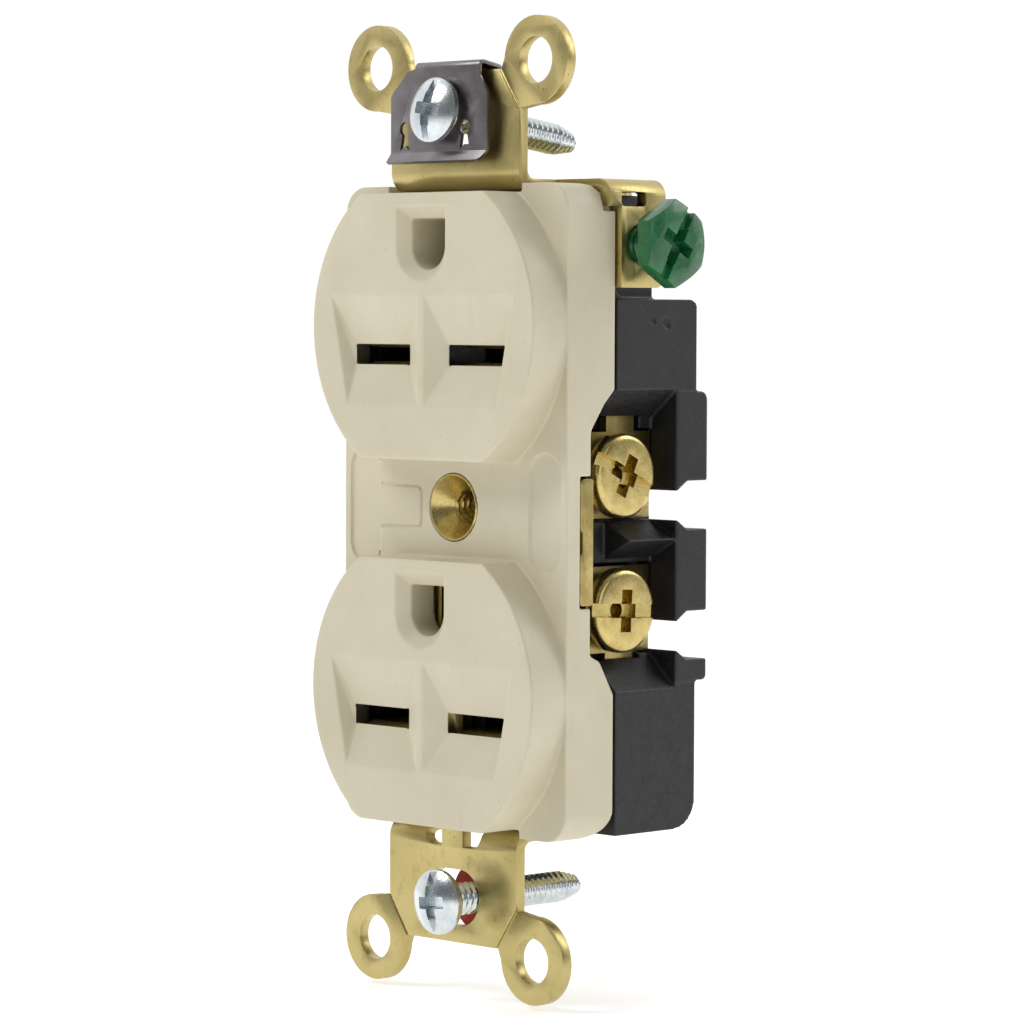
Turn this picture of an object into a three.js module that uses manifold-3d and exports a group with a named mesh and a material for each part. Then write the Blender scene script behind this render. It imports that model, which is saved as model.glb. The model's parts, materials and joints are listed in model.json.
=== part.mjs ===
// Duplex wall outlet: 250 V pattern, two faces, back-and-side wired, wrap-around brass strap.
// Millimetres. +X is the viewer's right, +Y points into the wall, +Z is up.
// The origin is the middle of the back plane of the mounting ears (y = 0 is the wall surface).
import * as THREE from 'three';
import { mergeVertices } from 'three/addons/utils/BufferGeometryUtils.js';
import Module from 'manifold-3d';

const wasm = await Module();
wasm.setup();

// ---------- driving dimensions ----------
const GAP = 0.3; // clearance kept between neighbouring pieces
const ROUND = 20; // segments in a full turn of a large round piece
const ROUND_SMALL = 8; // segments in a full turn of a rivet or a bore

const STRAP = {
  thick: 1.27, bend: 1.57, halfWidth: 9.8, top: 46.5, shelfTop: 35.0,
  back: 18.27, backHalfWidth: 7.6, narrowFrom: 14.6,
};
const EAR = {
  x: 12.19, z: 47.28, radius: 4.65, hole: 2.45, overlap: 0.4,
  neckLow: [9.8, 42.3], neckHigh: [7.1, 46.5], neckOuter: [13.79, 42.93], neckInner: [7.57, 47.68],
};
const MOUNT_Z = 41.67; // half of the 83.34 mm spacing of the box screws
const MOUNT_SLOT = { halfWidth: 4.16, halfHeight: 3.05 };
const TONGUE = {
  halfWidth: 1.6, windowHalfWidth: 4.25, windowFoot: 36.2, windowBack: 12,
  jogY: 0.5, jogRise: 4.05, jogHeight: 1.1, padRadius: 3.2, ringRadius: 4.4,
};
const GROUND_FRAME = { halfWidth: 4.8, inner: 3.1, drop: 4.9, innerDrop: 3.3 };
const TAB = { outer: 17.82, front: 5.95, rear: 12.6, bottom: 23.6, legFront: 4.3, legFoot: 31.6, bend: 1.2 };
const TAB_WINDOW = { front: 5.9, rear: 9.6, bottom: 32.1 };

const COVER = {
  halfWidth: 17.1, halfHeight: 34.5, front: -1.3, rear: 5.8, corner: 3.0, rearRound: 3.2, wall: 1.5,
};
// the side bay in the cover's wall, as (y, z) points
const COVER_BAY = [
  [6.8, 13.4], [5.8, 12.9], [4.6, 11.6], [3.3, 9.8], [2.3, 8.6],
  [2.3, -15.0], [3.9, -15.6], [5.8, -19.2], [6.8, -19.6],
];
const CENTRE_RECESS = { left: -11.5, right: -4.7, bottom: -2.4, top: 2.5 };
const BOSS = { radius: 3.2, bore: 1.75, ends: [GAP, -1.6] };
const COVER_NOTCH = { halfWidth: 10.2, z: 33.6 };
const FACE = { pitch: 38.89, front: -6.2, radius: 17.0, flat: 14.15 };
const BLADE = { z: -3.05, inner: 3.05, outer: 11.4, halfHeight: 1.0 };
const POCKET = { depth: 1.4, inner: 0.35, topOuter: 14.1, bottomOuter: 11.5, top: 3.5, bottom: -8.6 };
const GROUND = { z: 8.5, radius: 2.5, top: 11.4, bevel: 1.4, depth: 1.2 };
const PILL = { x: 13.86, halfWidth: 2.33, halfHeight: 6.28, depth: 0.3 };

const BODY = {
  halfWidth: 17.1, front: 0.6, rear: 18.4, bottom: -34.2, shoulder: 22.4,
  top: 33.4, topHalfWidth: 13.6, rearRound: 3.2, shoulderRound: 1,
};
const BODY_TOP_REAR = 15.1;
const BAY = {
  x: 13.4, outerX: 17.6, rear: 15.2, top: 9.8, outerTop: 13.3, bottom: -15.6, outerBottom: -19.5,
};
const BAY_NOTCH = {
  z: [0.45, -13.5], inner: 10.2, halfWidth: 1.55, mouthHalfWidth: 2.6, neckEnd: 15.4, mouthStart: 17.0,
};
const BARRIER = { middle: -3.1, top: -1.2, bottom: -5.2, front: 8.1 };
const CENTRE_POCKET = { halfWidth: 5, rear: 2.1, bottom: -8.6, top: 5 };
const INSERT_WELL = { radius: 3.0, rear: 12 };
const TERMINAL_POCKET_INNER = 5.6;
const BLADE_POCKET = { inner: 2.9, outer: 13.6, rear: 13.6, halfHeight: 2.7 };
const ARM_CHANNEL = { inner: 12.0, outer: 13.6, rear: 13.3 };
const GROUND_POCKET = { halfWidth: 3.6, rear: 15.2, halfHeight: 3.2 };
const BLOCK = { inner: 8.2, rear: 20.0, top: 12.6, bottom: -18.4 };
const WIRE_HOLE = { x: 10.6, radius: 1.6, offset: 3.1, front: 14 };

const TERMINAL = { y: 8.7, z: -3.4, halfPitch: 7.145 };
const TERMINAL_SCREW = {
  headRadius: 4.5, headInner: 14.3, headOuter: 16.2, radius: 2.0, tip: 6.4, rim: 0.25,
};
const TERMINAL_BORE = 2.25;
const TERMINAL_RECESS = { slot: 0.6, cross: 1.9, depth: 0.8 };
const PLATE = { inner: 12.3, outer: 13.3, front: 2.2, rear: 15.0, halfHeight: 4.6, bridge: 2 };
const ARM = { front: 8.4, rear: 12.6, padFront: 11.8, padInner: 5.0, halfHeight: 1.6 };
const FIN = { inner: 16.0, outer: 16.8, front: 1.05, rear: 2.95, top: 3.6, bottom: -9.7 };
const CLAMP = { inner: 7.4, outer: 8.9, front: 4.6, rear: 13.6, halfHeight: 4.2 };
const CONTACT = {
  front: -4.3, throatFront: -2.6, throatRear: 4.0, flareRear: 7.4, rear: 11.5,
  thick: 0.8, bend: 0.6, inner: 3.4, outer: 11.0, throat: 0.75, base: 1.55, rivetX: 7.2,
};
const GROUND_CONTACT = { front: 0.7, rear: 14.0, gap: 2.35, thick: 0.7, halfHeight: 2.4 };
const RIVET_HEAD = 0.6;
const CONTACT_RIVET = { head: 9.9, radius: 1.0, headRadius: 1.4, tail: 13.4, tailRadius: 1.6, bore: 1.15 };
const GROUND_RIVET = { head: 12.6, radius: 1.2, headRadius: 2.0, tail: 19.1, tailRadius: 2.2, bore: 1.45 };
const GROUND_RIVET_HOLE = { radius: 1.5, bodyFront: 15, strapFront: 16 };

const MOUNT_SCREW = { headRadius: 3.45, headThick: 1.8, radius: 1.75, length: 22.0, point: 2.6, tip: 0.62 };
// the head's dome, as (fraction of its radius, depth) points
const DOME = [[0.5, 0.12], [0.85, 0.5], [1, 1.0]];
const MOUNT_RECESS = { slot: 0.45, cross: 1.9, depth: 1.0 };
const RETAINER = { inner: 1.85, outer: 3.75, front: 0.35, rear: 1.15 };
const LOWER_SCREW = { x: 2.2, z: -41.6, front: -6.75 };
const UPPER_SCREW = { x: -0.4, front: -5.2, z: 42.5, tilt: THREE.MathUtils.degToRad(8) };
const CLIP = {
  thick: 0.4, bend: 0.45, y: -2.5, left: -8.4, right: 6.35, lip: 0.75, lipZ: 36.9, foot: 37.9,
  top: 47.45, hookY: 0.55, hookDrop: 0.55, hookEnd: 44.0, holeZ: 42.15,
};
// the corners cut off the clip, as (x, z) points
const CLIP_TRIM_LEFT = [
  [-9.4, 43.9], [-8.4, 43.9], [-8.1, 44.4], [-5.8, 46.6], [-4.6, 46.9], [-4.6, 49], [-9.4, 49],
];
const CLIP_TRIM_RIGHT = [[7.35, 44.2], [6.35, 44.2], [5.2, 45.9], [5.2, 49], [7.35, 49]];
const KEYHOLE = { x: [-6.2, 3.0], z: 40.1, foot: 38.2, radius: 0.75, slit: 0.35 };
const GROUND_SCREW = {
  y: 9.1, z: 28.2, headInner: 21.0, headOuter: 23.0, flats: 8.1, radius: 2.0, tip: 14.2,
};
const GROUND_RECESS = { slot: 0.6, cross: 1.9, depth: 1.0 };
const SCREW_TIP = { fraction: 0.8, length: 0.5 };
const ASSEMBLY_Z = [8.2, -28.6];
const ASSEMBLY_HOLE = 1.9;
// the assembly screw, as (radius, y) points
const ASSEMBLY_PROFILE = [
  [0, -4.2], [1.2, -4.2], [1.6, -3.6], [1.6, 18.4], [2.8, 18.4], [2.8, 19.2], [2.0, 20.0], [0, 20.0],
];
const INSERT = {
  rim: 3.6, body: 2.5, hole: 1.75, rear: 4.4, z: 0.15,
  chamfer: 0.35, rimThick: 0.3, taper: 1.4, sink: 1.9, clearance: 0.1, reliefRear: 3,
};

// ---------- materials ----------
function finish(color, roughness, metalness) {
  return new THREE.MeshStandardMaterial({ color, roughness, metalness });
}

const IVORY = finish(0xd8ccb0, 0.45, 0);
const BLACK = finish(0x2b2b2c, 0.5, 0);
const BRASS = finish(0xc4a95c, 0.38, 1);
const SCREW_BRASS = finish(0xc99a3a, 0.3, 1);
const SPRING_STEEL = finish(0x77706f, 0.42, 1);
const ZINC = finish(0xb9c2c8, 0.25, 1);
const FIBRE = finish(0x9c2f25, 0.8, 0);
const GREEN = finish(0x1f6f35, 0.35, 0);

// ---------- geometry helpers ----------
/** A closed three.js geometry as a manifold solid, turned right side out where its triangles face inwards. */
function solid(geometry) {
  geometry.deleteAttribute('normal');
  geometry.deleteAttribute('uv');
  const merged = mergeVertices(geometry, 1e-4);
  const index = merged.index.array;
  const triangles = [];
  for (let i = 0; i < index.length; i += 3) {
    const [a, b, c] = [index[i], index[i + 1], index[i + 2]];
    if (a !== b && b !== c && c !== a) triangles.push(a, b, c);
  }
  const vertProperties = new Float32Array(merged.attributes.position.array);
  const build = (order) => new wasm.Manifold(
    new wasm.Mesh({ numProp: 3, vertProperties, triVerts: new Uint32Array(order) }));
  const shape = build(triangles);
  return shape.volume() > 0 ? shape : build(triangles.reverse());
}

function box(x0, x1, y0, y1, z0, z1) {
  const geometry = new THREE.BoxGeometry(x1 - x0, y1 - y0, z1 - z0);
  return solid(geometry.translate((x0 + x1) / 2, (y0 + y1) / 2, (z0 + z1) / 2));
}

/** A shape drawn in (x, z), extruded along Y. */
function prismY(shape, y0, y1, curveSegments = 4) {
  const geometry = new THREE.ExtrudeGeometry(shape, { depth: y1 - y0, bevelEnabled: false, curveSegments });
  return solid(geometry.rotateX(Math.PI / 2).translate(0, y1, 0));
}

/** A shape drawn in (y, z), extruded along X. */
function prismX(shape, x0, x1, curveSegments = 4) {
  const geometry = new THREE.ExtrudeGeometry(shape, { depth: x1 - x0, bevelEnabled: false, curveSegments });
  const turn = new THREE.Matrix4().makeBasis(
    new THREE.Vector3(0, 1, 0), new THREE.Vector3(0, 0, 1), new THREE.Vector3(1, 0, 0));
  return solid(geometry.applyMatrix4(turn).translate(x0, 0, 0));
}

const polygon = (points) => new THREE.Shape(points.map(([a, b]) => new THREE.Vector2(a, b)));

function disc(x, y, radius) {
  const shape = new THREE.Shape();
  shape.absarc(x, y, radius, 0, Math.PI * 2, false);
  return shape;
}

/** A rectangle with round corners, from (x0, z0) to (x1, z1). */
function roundedRect(x0, x1, z0, z1, radius) {
  const shape = new THREE.Shape();
  shape.absarc(x1 - radius, z1 - radius, radius, 0, Math.PI / 2, false);
  shape.absarc(x0 + radius, z1 - radius, radius, Math.PI / 2, Math.PI, false);
  shape.absarc(x0 + radius, z0 + radius, radius, Math.PI, Math.PI * 1.5, false);
  shape.absarc(x1 - radius, z0 + radius, radius, Math.PI * 1.5, Math.PI * 2, false);
  return shape;
}

const roundness = (radius) => (radius > 3.5 ? ROUND : ROUND_SMALL);
const cylinderY = (x, z, radius, y0, y1) => prismY(disc(x, z, radius), y0, y1, roundness(radius));
const cylinderX = (y, z, radius, x0, x1) => prismX(disc(y, z, radius), x0, x1, roundness(radius));

/** A turned piece: profile points are (radius, distance along the axis), axis along +Y. */
function turned(profile, segments = ROUND) {
  return new THREE.LatheGeometry(profile.map(([r, y]) => new THREE.Vector2(r, y)), segments);
}

/** A closed solid between two rings of 3-D points with the same count. */
function loft(ringA, ringB) {
  const count = ringA.length;
  const positions = [...ringA, ...ringB].flat();
  const index = [];
  for (let i = 0; i < count; i += 1) {
    const next = (i + 1) % count;
    index.push(i, next, count + i, next, count + next, count + i);
  }
  for (let i = 1; i < count - 1; i += 1) index.push(0, i + 1, i, count, count + i, count + i + 1);
  const geometry = new THREE.BufferGeometry();
  geometry.setAttribute('position', new THREE.Float32BufferAttribute(positions, 3));
  geometry.setIndex(index);
  return solid(geometry);
}

/** A bent sheet's section: a polyline of its middle plane, with every corner bent round. */
function bentSheet(path, thickness, bendRadius) {
  const left = [];
  const right = [];
  const half = thickness / 2;
  const points = path.map(([a, b]) => new THREE.Vector2(a, b));
  const offset = (point, normal, distance) => [point.x + normal.x * distance, point.y + normal.y * distance];
  const direction = (i) => points[i + 1].clone().sub(points[i]).normalize();
  const normalOf = (d) => new THREE.Vector2(-d.y, d.x);
  left.push(offset(points[0], normalOf(direction(0)), half));
  right.push(offset(points[0], normalOf(direction(0)), -half));
  for (let i = 1; i < points.length - 1; i += 1) {
    const before = direction(i - 1);
    const after = direction(i);
    const turn = Math.atan2(before.cross(after), before.dot(after));
    const side = Math.sign(turn);
    const setback = bendRadius * Math.tan(Math.abs(turn) / 2);
    const start = points[i].clone().addScaledVector(before, -setback);
    const centre = start.clone().addScaledVector(normalOf(before), side * bendRadius);
    const steps = Math.max(2, Math.round(Math.abs(turn) / 0.3));
    for (let k = 0; k <= steps; k += 1) {
      const spoke = normalOf(before).multiplyScalar(-side);
      spoke.rotateAround(new THREE.Vector2(), (turn * k) / steps);
      left.push(offset(centre, spoke, bendRadius - side * half));
      right.push(offset(centre, spoke, bendRadius + side * half));
    }
  }
  const last = points.length - 1;
  left.push(offset(points[last], normalOf(direction(last - 1)), half));
  right.push(offset(points[last], normalOf(direction(last - 1)), -half));
  return polygon([...right, ...left.reverse()]);
}

const join = (solids) => solids.reduce((whole, piece) => whole.add(piece));
const cut = (whole, tools) => tools.reduce((rest, tool) => rest.subtract(tool), whole);
/** The X range from a to b on one side of the outlet: side is +1 (right) or -1 (left). */
const onSide = (side, a, b) => (side > 0 ? [a, b] : [-b, -a]);

const outlet = new THREE.Group();

function addMesh(name, source, material) {
  let geometry = source;
  if (source instanceof wasm.Manifold) {
    const { vertProperties, triVerts } = source.getMesh();
    geometry = new THREE.BufferGeometry();
    geometry.setAttribute('position', new THREE.Float32BufferAttribute(vertProperties, 3));
    geometry.setIndex(new THREE.Uint32BufferAttribute(triVerts, 1));
  }
  const mesh = new THREE.Mesh(geometry, material);
  mesh.name = name;
  outlet.add(mesh);
  return mesh;
}

// ---------- front cover ----------
const FACE_CENTRES = { upper: FACE.pitch / 2, lower: -FACE.pitch / 2 };

/** A face outline: a circle with a flat above and below. */
function faceOutline(z, radius, flat) {
  const angle = Math.asin(flat / radius);
  const shape = new THREE.Shape();
  shape.absarc(0, z, radius, -angle, angle, false);
  shape.absarc(0, z, radius, Math.PI - angle, Math.PI + angle, false);
  return shape;
}

/** The ground opening's outline: flat on top, round below, grown by a margin. */
function groundRing(z, y, margin, steps = 8) {
  const radius = GROUND.radius + margin;
  const ring = [[radius, y, z + GROUND.top + margin], [-radius, y, z + GROUND.top + margin]];
  for (let i = 0; i <= steps; i += 1) {
    const angle = Math.PI + (Math.PI * i) / steps;
    ring.push([radius * Math.cos(angle), y, z + GROUND.z + radius * Math.sin(angle)]);
  }
  return ring;
}

function faceCuts(z) {
  const inside = COVER.rear;
  const cuts = [
    loft(groundRing(z, FACE.front - 0.01, GROUND.bevel), groundRing(z, FACE.front + GROUND.depth, 0)),
    loft(groundRing(z, FACE.front, 0), groundRing(z, inside, 0)),
  ];
  for (const side of [-1, 1]) {
    const outline = [
      [side * POCKET.topOuter, POCKET.top], [side * POCKET.inner, POCKET.top],
      [side * POCKET.inner, POCKET.bottom], [side * POCKET.bottomOuter, POCKET.bottom],
    ];
    const slot = [
      [side * BLADE.outer, BLADE.z + BLADE.halfHeight], [side * BLADE.inner, BLADE.z + BLADE.halfHeight],
      [side * BLADE.inner, BLADE.z - BLADE.halfHeight], [side * BLADE.outer, BLADE.z - BLADE.halfHeight],
    ];
    const at = (ring, y) => ring.map(([x, rise]) => [x, y, z + rise]);
    cuts.push(loft(at(outline, FACE.front - 0.01), at(slot, FACE.front + POCKET.depth)));
    cuts.push(loft(at(slot, FACE.front), at(slot, inside)));
  }
  return cuts;
}

function frontCover() {
  const { halfWidth, halfHeight, front, rear, corner, rearRound, wall } = COVER;
  const shell = join([
    prismY(roundedRect(-halfWidth, halfWidth, -halfHeight, halfHeight, corner), front, rear),
    ...Object.values(FACE_CENTRES).map((z) => prismY(
      faceOutline(z, FACE.radius, FACE.flat), FACE.front, 0, 10)),
  ]);
  const innerX = halfWidth - wall;
  const innerZ = COVER_NOTCH.z - wall;
  const hollow = join([
    box(-innerX, innerX, front + wall, rear + 1, -innerZ, innerZ),
    ...Object.values(FACE_CENTRES).map((z) => prismY(
      faceOutline(z, FACE.radius - wall, FACE.flat - wall), FACE.front + wall, rear, 8)),
  ]);
  const cuts = [hollow];
  for (const end of [-1, 1]) {
    const z0 = end > 0 ? COVER_NOTCH.z : -halfHeight - 1;
    const z1 = end > 0 ? halfHeight + 1 : -COVER_NOTCH.z;
    cuts.push(box(-COVER_NOTCH.halfWidth, COVER_NOTCH.halfWidth, front - 1, rear + 1, z0, z1));
    const edge = polygon([
      [rear - rearRound, end * (halfHeight + 0.01)],
      [rear - rearRound * 0.3, end * (halfHeight - rearRound * 0.3)],
      [rear + 0.01, end * (halfHeight - rearRound)], [rear + 1, end * (halfHeight + 1)],
    ]);
    cuts.push(prismX(edge, -halfWidth - 1, halfWidth + 1));
  }
  for (const side of [-1, 1]) {
    const [x0, x1] = onSide(side, innerX - 0.1, halfWidth + 1);
    cuts.push(prismX(polygon(COVER_BAY), x0, x1));
    cuts.push(box(x0, x1, FIN.front - GAP, FIN.rear, FIN.bottom - GAP, FIN.top + GAP));
    const pill = roundedRect(
      side * PILL.x - PILL.halfWidth, side * PILL.x + PILL.halfWidth,
      -PILL.halfHeight, PILL.halfHeight, PILL.halfWidth - 0.01);
    cuts.push(prismY(pill, front - 1, front + PILL.depth));
  }
  const rimRoom = INSERT.rim + INSERT.clearance;
  const bodyRoom = INSERT.body + INSERT.clearance;
  const insertRoom = turned([
    [0, front - 0.01], [rimRoom, front - 0.01], [rimRoom, front + INSERT.rimThick + 0.05],
    [bodyRoom, front + INSERT.taper + 0.05], [bodyRoom, INSERT.reliefRear], [0, INSERT.reliefRear],
  ]).translate(0, 0, INSERT.z);
  const tongueSlot = box(-TONGUE.halfWidth - GAP, TONGUE.halfWidth + GAP, -STRAP.thick - GAP, GAP,
    -COVER.halfHeight - 1, -COVER_NOTCH.z + wall + 1);
  const reliefFront = TAB.legFront - GAP;
  const legInner = TAB.outer - STRAP.thick - GAP;
  const legRelief = box(legInner, halfWidth + 1, reliefFront, rear + 1, TAB.legFoot, halfHeight + 1);
  const shelfRelief = box(
    STRAP.halfWidth, halfWidth + 1, reliefFront, rear + 1, COVER_NOTCH.z, halfHeight + 1);
  const centreRecess = box(
    CENTRE_RECESS.left, CENTRE_RECESS.right, front - 1, front + PILL.depth,
    CENTRE_RECESS.bottom, CENTRE_RECESS.top);
  const body = cut(shell, [
    ...cuts, solid(insertRoom), tongueSlot, legRelief, shelfRelief, centreRecess,
    ...Object.values(FACE_CENTRES).flatMap(faceCuts),
  ]);
  const bossFront = FACE.front + wall;
  const bosses = ASSEMBLY_Z.map((z, i) => cylinderY(0, z, BOSS.radius, bossFront - 0.2, BOSS.ends[i]));
  const bores = ASSEMBLY_Z.map((z) => cylinderY(0, z, BOSS.bore, bossFront + 0.2, 1));
  return cut(join([body, ...bosses]), bores);
}

// ---------- rear body ----------
function rearBody() {
  const { halfWidth, front, rear, bottom, shoulder, top, topHalfWidth, rearRound, shoulderRound } = BODY;
  const skirtRear = COVER.rear + GAP;
  const inX = COVER.halfWidth - COVER.wall - GAP;
  const inZ = COVER_NOTCH.z - COVER.wall - GAP;
  const channel = STRAP.backHalfWidth + GAP;
  const channelFloor = STRAP.back - STRAP.thick - GAP;
  const side = new THREE.Shape();
  side.moveTo(skirtRear, bottom);
  side.lineTo(rear - rearRound, bottom);
  side.absarc(rear - rearRound, bottom + rearRound, rearRound, -Math.PI / 2, 0, false);
  side.absarc(rear - shoulderRound, shoulder - shoulderRound, shoulderRound, 0, Math.PI / 2, false);
  side.lineTo(skirtRear, shoulder);
  const parts = [
    box(-inX, inX, front, skirtRear + 1, -inZ, inZ),
    prismX(side, -halfWidth, halfWidth),
    box(-topHalfWidth, topHalfWidth, skirtRear, BODY_TOP_REAR, shoulder - 1, top),
    box(-channel, channel, BODY_TOP_REAR - 1, channelFloor, shoulder - 1, top),
  ];
  for (const s of [-1, 1]) {
    const [x0, x1] = onSide(s, BLOCK.inner, halfWidth + 0.1);
    parts.push(box(x0, x1, BAY.rear, BLOCK.rear, BLOCK.bottom, BLOCK.top));
  }
  const cuts = [
    box(-channel, channel, channelFloor, rear + 1, bottom - 1, top + 1),
    box(-STRAP.halfWidth - GAP, STRAP.halfWidth + GAP, skirtRear - 1, rear + 1, bottom - 1, -BODY.top),
    box(-CENTRE_POCKET.halfWidth, CENTRE_POCKET.halfWidth, front - 1, CENTRE_POCKET.rear,
      CENTRE_POCKET.bottom, CENTRE_POCKET.top),
    cylinderY(0, INSERT.z, INSERT_WELL.radius, front - 1, INSERT_WELL.rear),
    ...ASSEMBLY_Z.map((z) => cylinderY(0, z, ASSEMBLY_HOLE, front - 1, rear)),
  ];
  for (const s of [-1, 1]) {
    const wedge = polygon([
      [s * BAY.x, BAY.top], [s * BAY.outerX, BAY.outerTop],
      [s * BAY.outerX, BAY.outerBottom], [s * BAY.x, BAY.bottom],
    ]);
    cuts.push(prismY(wedge, front - 1, BAY.rear));
    for (const middle of BAY_NOTCH.z) {
      const low = middle - BAY_NOTCH.halfWidth;
      const high = middle + BAY_NOTCH.halfWidth;
      const mouthLow = middle - BAY_NOTCH.mouthHalfWidth;
      const mouthHigh = middle + BAY_NOTCH.mouthHalfWidth;
      const notch = polygon([
        [BAY.rear - 0.2, low], [BAY_NOTCH.neckEnd, low], [BAY_NOTCH.mouthStart, mouthLow],
        [BLOCK.rear + 1, mouthLow], [BLOCK.rear + 1, mouthHigh], [BAY_NOTCH.mouthStart, mouthHigh],
        [BAY_NOTCH.neckEnd, high], [BAY.rear - 0.2, high],
      ]);
      cuts.push(prismX(notch, ...onSide(s, BAY_NOTCH.inner, halfWidth + 1)));
      cuts.push(box(...onSide(s, BLOCK.inner - 1, halfWidth + 1), rear, BLOCK.rear + 1, mouthLow, mouthHigh));
    }
    for (const t of [-1, 1]) {
      const z = TERMINAL.z + t * TERMINAL.halfPitch;
      const reach = PLATE.halfHeight + GAP;
      const pocketX = onSide(s, TERMINAL_POCKET_INNER, BAY.x + 0.1);
      cuts.push(box(...pocketX, front - 1, BAY.rear, z - reach, z + reach));
      for (const offset of [-1, 1]) {
        const wireZ = z + offset * WIRE_HOLE.offset;
        cuts.push(cylinderY(s * WIRE_HOLE.x, wireZ, WIRE_HOLE.radius, WIRE_HOLE.front, BLOCK.rear + 1));
      }
      const bladeZ = t * FACE.pitch / 2 + BLADE.z;
      const bladeX = onSide(s, BLADE_POCKET.inner, BLADE_POCKET.outer);
      cuts.push(box(...bladeX, front - 1, BLADE_POCKET.rear,
        bladeZ - BLADE_POCKET.halfHeight, bladeZ + BLADE_POCKET.halfHeight));
      const armX = onSide(s, ARM_CHANNEL.inner, ARM_CHANNEL.outer);
      cuts.push(box(...armX, front - 1, ARM_CHANNEL.rear, Math.min(bladeZ, z), Math.max(bladeZ, z)));
    }
  }
  for (const z of Object.values(FACE_CENTRES)) {
    const pinZ = z + GROUND.z;
    cuts.push(box(-GROUND_POCKET.halfWidth, GROUND_POCKET.halfWidth, front - 1, GROUND_POCKET.rear,
      pinZ - GROUND_POCKET.halfHeight, pinZ + GROUND_POCKET.halfHeight));
    cuts.push(cylinderY(0, pinZ, GROUND_RIVET_HOLE.radius, GROUND_RIVET_HOLE.bodyFront, rear + 1));
  }
  const barriers = [-1, 1].map((s) => {
    const wedge = [
      [s * (BAY.x - 0.2), BARRIER.top], [s * (halfWidth + 0.1), BARRIER.middle],
      [s * (BAY.x - 0.2), BARRIER.bottom],
    ];
    return prismY(polygon(wedge), BARRIER.front, BAY.rear + 0.2);
  });
  return join([cut(join(parts), cuts), ...barriers]);
}

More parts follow.
